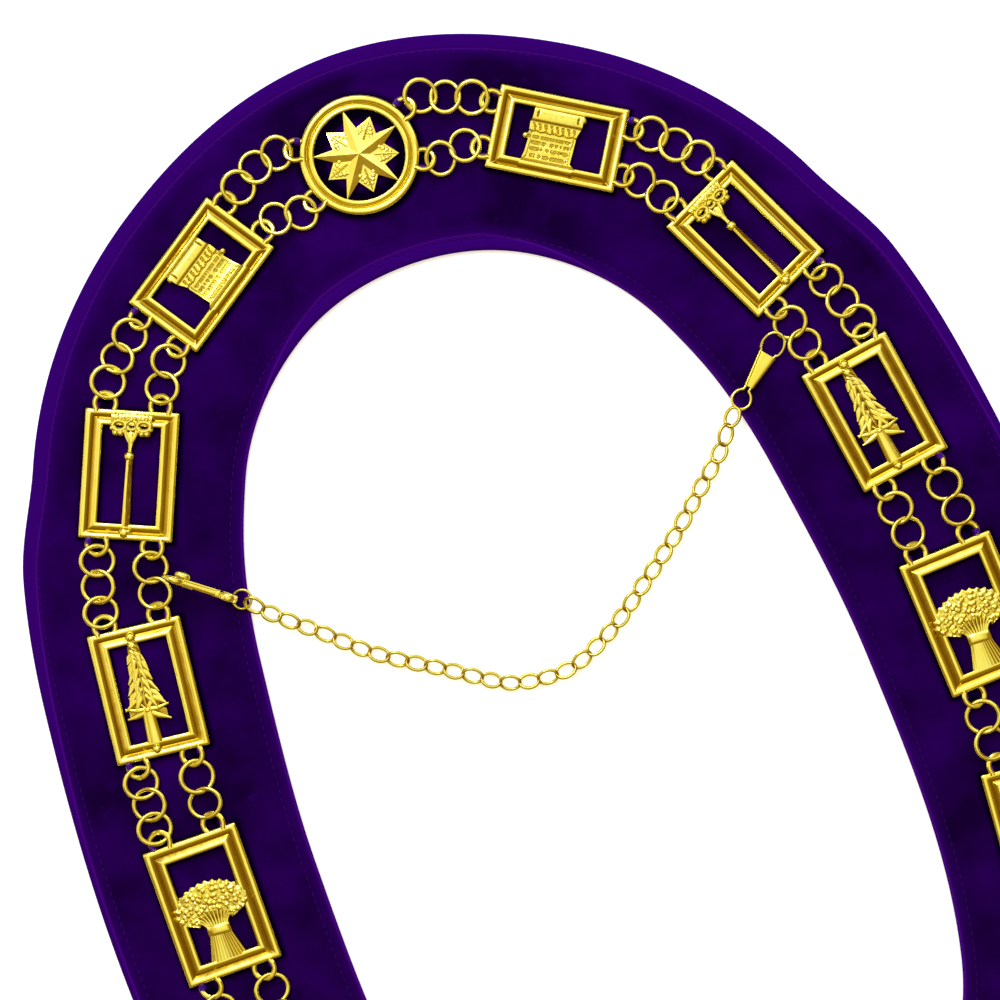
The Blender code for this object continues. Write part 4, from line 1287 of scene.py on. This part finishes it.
# ---------------------------------------------------------------- strands of rings
# Gilt jump rings of round brass wire, two or three in a strand and two strands in each gap. The
# first and last hook into the medallions' eyes, and neighbours lean opposite ways on the cloth.
# The gilding is brown at the two ends of each along its strand: stained where rings rub, and painted shade
# where they lie on each other.
RING_ROLL = 11.0
RING_BASE = 0.0053
RING_SQUEEZE = 0.88
RING_GRIP = 0.0047
GRIP_SHARE = 1.05
EYE_GRIP = 0.0064
RING_SCATTER = 0.0005
RING_STAIN_AND_SHADE = 0.45
STAIN_AND_SHADE_START = 0.80
STRAND_PULL = 0.12
WIRE_CREASE = 80
EXTRA_RING_IN = "left_sword_sheaf_outer_strand"


def random_in(tree, data_type, low, high, seed):
    """A random value or vector between two limits for each point."""
    made = node_in(tree, "FunctionNodeRandomValue", data_type=data_type, Seed=seed)
    kind = "VALUE" if data_type == "FLOAT" else "VECTOR"
    feed(tree, typed(made.inputs, kind, "Min"), low)
    feed(tree, typed(made.inputs, kind, "Max"), high)
    return typed(made.outputs, kind)


def chain_tree(name, steps, sides):
    """A tree that plants loops of wire along a path, leaning to one side and the other.

    Each loop is squeezed and moved a little by chance, and stained at its two ends, with painted shade there
    too.
    """
    tree, given, result = path_tree(
        name, "Count", "Half Length", "Half Width", "Wire", "Roll", "Squeeze", "Scatter", "Stain", "Seed"
    )
    points, lie = along_path(tree, given)
    odd = maths(tree, "MODULO", out_of(tree, "GeometryNodeInputIndex"), 2.0)
    sign = maths(tree, "MULTIPLY_ADD", odd, -2.0, 1.0)
    lean = out_of(tree, "ShaderNodeCombineXYZ", X=maths(tree, "MULTIPLY", sign, given["Roll"]))
    squeeze = random_in(tree, "FLOAT", given["Squeeze"], 1.0, given["Seed"])
    scale = out_of(tree, "ShaderNodeCombineXYZ", X=squeeze, Y=1.0, Z=1.0)
    loop = wire_loop(tree, given["Half Length"], given["Half Width"], given["Wire"], steps, sides)
    length = out_of(tree, "ShaderNodeSeparateXYZ", "X", Vector=out_of(tree, "GeometryNodeInputPosition"))
    share = maths(tree, "ABSOLUTE", maths(tree, "DIVIDE", length, given["Half Length"]))
    stain_and_shade = ramp_in(tree, share, STAIN_AND_SHADE_START, 1.0, To_Max=given["Stain"])
    stained_and_shaded = out_of(
        tree, "GeometryNodeStoreNamedAttribute", data_type="FLOAT", domain="POINT", Geometry=loop,
        Name="hollow", Value=stain_and_shade,
    )
    aside = random_in(tree, "FLOAT_VECTOR", (-1.0, -1.0, 0.0), (1.0, 1.0, 0.0), given["Seed"])
    push = node_in(tree, "ShaderNodeVectorMath", operation="SCALE", Scale=given["Scatter"])
    feed(tree, push.inputs[0], aside)
    loose = out_of(tree, "GeometryNodeSetPosition", Geometry=points, Offset=push.outputs[0])
    planted(tree, given, result, loose, stained_and_shaded, Rotation=turned(tree, lie, lean), Scale=scale)
    return tree


def strand_path(low, high, lane, side, count):
    """Points from the first ring's middle to the last one's; the eyes take up what is over."""
    (first, first_ahead), (last, last_ahead) = strand_ends(low, high, lane)
    spare = count * RING_ACROSS - (last - first).length
    grip = min(RING_GRIP, GRIP_SHARE * spare / (count + 1))
    lap = min((spare - (count - 1) * grip) / 2, EYE_GRIP)
    chord = (last - first).normalized()
    start = first + (first_ahead + 2 * chord).normalized() * (RING_ACROSS / 2 - lap)
    end = last + (last_ahead - 2 * chord).normalized() * (RING_ACROSS / 2 - lap)
    pull = (end - start).length * STRAND_PULL
    stops = (start, start + first_ahead * pull, end + last_ahead * pull, end)
    path = []
    for t in spaced(0.0, 1.0, 24):
        weights = ((1 - t) ** 3, 3 * t * (1 - t) ** 2, 3 * t * t * (1 - t), t ** 3)
        spot = sum((weight * stop for weight, stop in zip(weights, stops)), Vector())
        path.append(Vector((side * spot.x, spot.y, RING_BASE)))
    return path


# The rings' gilding is painted a little darker, a painted shade.
gilt_wire = gilt("gilt_wire", 0.6, 0.0001, 0.95)
ring_tree = chain_tree("ring_strand", 56, 10)
for stop, (low, high) in enumerate(zip(STOPS, STOPS[1:])):
    for lane_word, lane in (("outer", 1), ("inner", -1)):
        for word, side in (("left", -1), ("right", 1)):
            name = "_".join((word, low.name, high.name, lane_word, "strand"))
            count = ring_count(low, high, lane) + (name == EXTRA_RING_IN)
            mesh = grown(
                [strand_path(low, high, lane, side, count)], ring_tree, Material=gilt_wire, Count=count,
                Half_Length=RING_RADIUS, Half_Width=RING_RADIUS, Wire=RING_WIRE,
                Roll=math.radians(side * RING_ROLL), Squeeze=RING_SQUEEZE, Scatter=RING_SCATTER,
                Stain=RING_STAIN_AND_SHADE, Seed=10 * stop + 3 * lane + side,
            )
            dressed(name.replace("strand", "rings"), mesh, gilt_wire, [name], WIRE_CREASE)

# ---------------------------------------------------------------- spring snaps
# A snap is spring wire bent into a small eye, two legs and a large loop that hooks over a ring of
# the collar's chain. A tapered sleeve of thin gilt sheet is folded round its legs. The left snap
# lies on its edge and shows the knob that opens it.
SNAP_WIRE = 0.0006
SNAP_STEP = 0.0006
SNAP_LENGTH = 0.0350
SNAP_EYE_RADIUS = 0.0038
SNAP_EYE_SWELL = 0.12
SNAP_BOW_WIDTH = 0.0041
SNAP_BOW_SWELL = 1.06
SNAP_BOW_LENGTH = 0.0052
SNAP_TAIL = (0.0003, 0.0045)
SLEEVE_START = 0.0102
SLEEVE_END = 0.0250
SLEEVE_NARROW = 0.0016
SLEEVE_WIDE = 0.0034
SLEEVE_HALF_HEIGHT = 0.0012
SLEEVE_SHEET = 0.0005
SLEEVE_SQUARE = 2.2
SLEEVE_DISH = 0.20
SLEEVE_CREASE = 50
ROLLED_EDGE = 0.0006
ROLLED_INSET = 0.0002
KNOB_SIZE = (0.0017, 0.0036, 0.0018)
KNOB_SPOT = (0.0, 0.0262, 0.0024)
Snap = namedtuple("Snap", "side across down height heading rise roll stretch lift band taper")
SNAPS = (
    Snap("right", 0.1036, 0.1481, METAL_BASE + 0.0015, -51.0, 0.0, 0.0, 1.0, 0.0024, 1.0, 0.0),
    Snap("left", -0.1083, 0.1481, METAL_BASE + 0.0053, 50.6, 6.5, 90.0, 0.90, 0.0, 2.7, 0.62),
)

gilt_sheet = gilt("gilt_sheet", 1.6, 0.0002)


def past_sleeve(y):
    """How far a point is on its way from the sleeve's mouth to the end of the snap's loop."""
    return max(0.0, y - SLEEVE_END) / (SNAP_LENGTH - SLEEVE_END)


def snap_route(lift):
    """The spring wire's line: round the eye, out along one leg and back from the loop's far side."""
    neck, mouth = SLEEVE_NARROW - SNAP_WIRE, SLEEVE_WIDE - SNAP_WIRE
    flat = [(-neck, SLEEVE_START + 0.002)]
    for turn in spaced(math.radians(112), math.radians(428), 28):
        pear = 1.0 + SNAP_EYE_SWELL * max(0.0, math.sin(turn))
        y = SNAP_WIRE + SNAP_EYE_RADIUS * (1 + pear * math.sin(turn))
        flat.append((SNAP_EYE_RADIUS * math.cos(turn), y))
    flat += [(neck, SLEEVE_START), (mouth, SLEEVE_END)]
    bow_middle = SNAP_LENGTH - SNAP_WIRE - SNAP_BOW_LENGTH
    for turn in spaced(math.radians(-35), math.radians(215), 24):
        x = SNAP_BOW_WIDTH * SNAP_BOW_SWELL * math.cos(turn)
        flat.append((x, bow_middle + SNAP_BOW_LENGTH * math.sin(turn)))
    flat += [(-mouth, SLEEVE_END), (-mouth + SNAP_TAIL[0], SLEEVE_END - SNAP_TAIL[1])]
    return [Vector((x, y, lift * past_sleeve(y))) for x, y in flat]


def sleeve(build):
    """The folded sheet: a tapered flat tube with a rolled edge, its wall turned in at the ends."""
    stations = []
    for y in spaced(SLEEVE_START, SLEEVE_END, 10):
        share = (y - SLEEVE_START) / (SLEEVE_END - SLEEVE_START)
        stations.append((y, SLEEVE_NARROW + (SLEEVE_WIDE - SLEEVE_NARROW) * share))
    walls = []
    for wall in (SLEEVE_SHEET, 0.0):
        for y, half in stations if wall else reversed(stations):
            ring = []
            for turn in full_turn(32):
                c, s = math.cos(turn), math.sin(turn)
                x = math.copysign(abs(c) ** (2 / SLEEVE_SQUARE), c)
                z = (SLEEVE_HALF_HEIGHT + wall) * math.copysign(abs(s) ** (2 / SLEEVE_SQUARE), s)
                if z > 0:
                    z *= 1 - SLEEVE_DISH * (1 - x ** 2)
                ring.append(Vector(((half + wall) * x, y, z)))
            walls.append(ring)
    skin(build, walls, looped=True)
    rolled_edge = [Vector((ROLLED_INSET - half, y, SLEEVE_HALF_HEIGHT)) for y, half in stations]
    wire(build, rolled_edge, ROLLED_EDGE)


for snap in SNAPS:
    lie = Matrix.Translation((snap.across, NAPE_Y - snap.down, snap.height))
    for angle, axis in ((snap.heading, "Z"), (snap.rise, "X"), (snap.roll, "Y")):
        lie @= Matrix.Rotation(math.radians(angle), 4, axis)
    lie @= Matrix.Diagonal((1.0, snap.stretch, 1.0, 1.0))
    spring = bmesh.new()
    wire(spring, smooth_through(snap_route(snap.lift), SNAP_STEP), SNAP_WIRE, flat=snap.band)
    for vert in spring.verts:
        vert.co.z *= 1.0 - snap.taper * past_sleeve(vert.co.y)
    if snap.side == "left":
        knob = bmesh.ops.create_uvsphere(spring, u_segments=20, v_segments=14, radius=1.0)["verts"]
        bmesh.ops.scale(spring, verts=knob, vec=KNOB_SIZE)
        bmesh.ops.translate(spring, verts=knob, vec=KNOB_SPOT)
    spring.transform(lie)
    name = snap.side + "_snap_wire"
    finished(name.replace("wire", "spring"), spring, gilt_wire, [name], WIRE_CREASE)
    folded = bmesh.new()
    sleeve(folded)
    folded.transform(lie)
    name = snap.side + "_snap_sleeve"
    finished(name + "_sheet", folded, gilt_sheet, [name], SLEEVE_CREASE)

# ---------------------------------------------------------------- safety chain
# A fine chain of oval gilt links lies in a sag across the neck opening; its gilding is painted darker than
# the rings', a painted shade, and is browner at the links' ends. A jump ring joins its left end to the
# snap's eye, and its right end hooks into the other snap.
LINK_HALF_LENGTH = 0.0043
LINK_HALF_WIDTH = 0.0028
LINK_WIRE = 0.00076
LINK_PITCH = 0.0076
LINK_ROLL = 18.0
LINK_SQUEEZE = 0.9
LINK_STAIN_AND_SHADE = 0.85
LINK_SEED = 4
LINK_ON_FLOOR = 0.0017
LINK_ON_CLOTH = 0.0048
CHAIN_STEP = 0.002
JUMP_RING_RADIUS = 0.0038
JUMP_RING_WIRE = 0.00055
JUMP_RING_LEAN = 0.12
JUMP_RING_SPOT = Vector((-0.1070, NAPE_Y - 0.1484, METAL_BASE + 0.0014))
CHAIN_ROUTE = (
    (-0.1033, 0.1523, LINK_ON_CLOTH), (-0.0958, 0.1603, 0.0040), (-0.0833, 0.1714, LINK_ON_FLOOR),
    (-0.0651, 0.1879, LINK_ON_FLOOR), (-0.0412, 0.2038, LINK_ON_FLOOR), (-0.0228, 0.2161, LINK_ON_FLOOR),
    (-0.0120, 0.2200, LINK_ON_FLOOR), (0.0035, 0.2212, LINK_ON_FLOOR), (0.0165, 0.2172, LINK_ON_FLOOR),
    (0.0299, 0.2102, LINK_ON_FLOOR), (0.0427, 0.2013, LINK_ON_FLOOR), (0.0558, 0.1920, LINK_ON_FLOOR),
    (0.0682, 0.1823, LINK_ON_FLOOR), (0.0798, 0.1722, LINK_ON_FLOOR), (0.0919, 0.1616, 0.0036),
    (0.0972, 0.1549, LINK_ON_CLOTH), (0.1012, 0.1506, LINK_ON_CLOTH),
)

chain_stops = [Vector((across, NAPE_Y - down, height)) for across, down, height in CHAIN_ROUTE]
chain_line = smooth_through(chain_stops, CHAIN_STEP)
chain_length = sum((b - a).length for a, b in zip(chain_line, chain_line[1:]))
dull_wire = gilt("dull_wire", 1.0, 0.0001, 0.72)
links = grown(
    [chain_line], chain_tree("safety_chain", 28, 8), Material=dull_wire,
    Count=round(chain_length / LINK_PITCH) + 1, Half_Length=LINK_HALF_LENGTH, Half_Width=LINK_HALF_WIDTH,
    Wire=LINK_WIRE, Roll=math.radians(LINK_ROLL), Squeeze=LINK_SQUEEZE, Stain=LINK_STAIN_AND_SHADE, Seed=LINK_SEED,
)
joined = bmesh.new()
joined.from_mesh(links)
ring_path = []
for turn in full_turn(40):
    off = Vector((math.cos(turn), math.sin(turn), JUMP_RING_LEAN * math.cos(turn)))
    ring_path.append(JUMP_RING_SPOT + JUMP_RING_RADIUS * off)
wire(joined, ring_path, JUMP_RING_WIRE, closed=True)
finished("safety_chain_links", joined, dull_wire, ["safety_chain"], WIRE_CREASE)

# ---------------------------------------------------------------- studio
# A plain white table under soft light. A wide warm box overhead and a cooler one below it light the
# faces; three boxes beyond the nape light the slopes and throw the shadows to the lower right, and
# a weak one fills in from the left. The camera looks straight down on the collar's upper half.
CAMERA_HEIGHT = 0.9444
CAMERA_LENS = 85.0
CAMERA_SENSOR = 36.0
VIEW_ACROSS = 0.0030
VIEW_DOWN = 0.1483
VIEW_TURN = -21.0
FLOOR_SIZE = 6.0
FLOOR_DROP = 0.0004
FLOOR_COLOUR = (0.88, 0.88, 0.88)
FLOOR_GRAIN = (0.8976, 0.8976, 0.8976)
FLOOR_GLOW = 0.50
WORLD_COLOUR = (1.0, 0.575, 0.06)
WORLD_STRENGTH = 0.31
SoftBox = namedtuple("SoftBox", "name right up height width length watts colour")
SOFT_BOXES = (
    SoftBox("overhead", 0.0, 0.0, 2.2, 3.0, 3.0, 16.4, (1.0, 0.98, 0.55)),
    SoftBox("crest_light", 0.0, 0.0, 2.0, 1.5, 1.5, 3.5, (0.40, 0.62, 1.0)),
    SoftBox("top_light", 0.35, 1.22, 1.08, 2.4, 0.9, 12.5, (0.74, 0.78, 1.0)),
    SoftBox("key_light", -0.50, 1.24, 1.05, 0.8, 0.6, 7.0, (0.74, 0.78, 1.0)),
    SoftBox("shadow_light", -0.55, 0.78, 1.65, 0.4, 0.4, 11.0, (0.76, 0.78, 1.0)),
    SoftBox("left_fill", -1.20, 0.1, 0.72, 1.2, 0.9, 3.0, (1.0, 0.95, 0.80)),
)

floor_build = bmesh.new()
bmesh.ops.create_grid(floor_build, x_segments=1, y_segments=1, size=FLOOR_SIZE / 2)
floor_mesh = bpy.data.meshes.new("table_top")
floor_build.to_mesh(floor_mesh)
floor_build.free()
paper, tree, shader, where = new_material("white_table")
set_inputs(
    tree, shader, Base_Color=blend_in(tree, noise_in(tree, where, 40.0), FLOOR_COLOUR, FLOOR_GRAIN),
    Roughness=0.7, Emission_Color=(1.0, 1.0, 1.0), Emission_Strength=FLOOR_GLOW,
)
floor_mesh.materials.append(paper)
table_top = bpy.data.objects.new("table_top", floor_mesh)
table_top.location.z = -FLOOR_DROP
bpy.context.scene.collection.objects.link(table_top)

aim = Vector((VIEW_ACROSS, NAPE_Y - VIEW_DOWN, 0.0))
camera = bpy.data.objects.new("camera", bpy.data.cameras.new("camera"))
camera.data.lens = CAMERA_LENS
camera.data.sensor_width = CAMERA_SENSOR
camera.location = aim + CAMERA_HEIGHT * UP
camera.rotation_euler.z = math.radians(VIEW_TURN)
bpy.context.scene.collection.objects.link(camera)
bpy.context.scene.camera = camera

view_turn = Matrix.Rotation(math.radians(VIEW_TURN), 4, "Z")
for box in SOFT_BOXES:
    lamp = bpy.data.lights.new(box.name, "AREA")
    lamp.shape = "RECTANGLE"
    lamp.size = box.width
    lamp.size_y = box.length
    lamp.energy = box.watts
    lamp.color = box.colour
    light = bpy.data.objects.new(box.name, lamp)
    light.location = aim + view_turn @ Vector((box.right, box.up, box.height))
    light.rotation_euler = (aim - light.location).to_track_quat("-Z", "Y").to_euler()
    bpy.context.scene.collection.objects.link(light)

world = bpy.data.worlds.new("studio")
world.use_nodes = True
set_inputs(world.node_tree, world.node_tree.nodes["Background"], Color=WORLD_COLOUR, Strength=WORLD_STRENGTH)
bpy.context.scene.world = world
bpy.context.scene.view_settings.view_transform = "Standard"
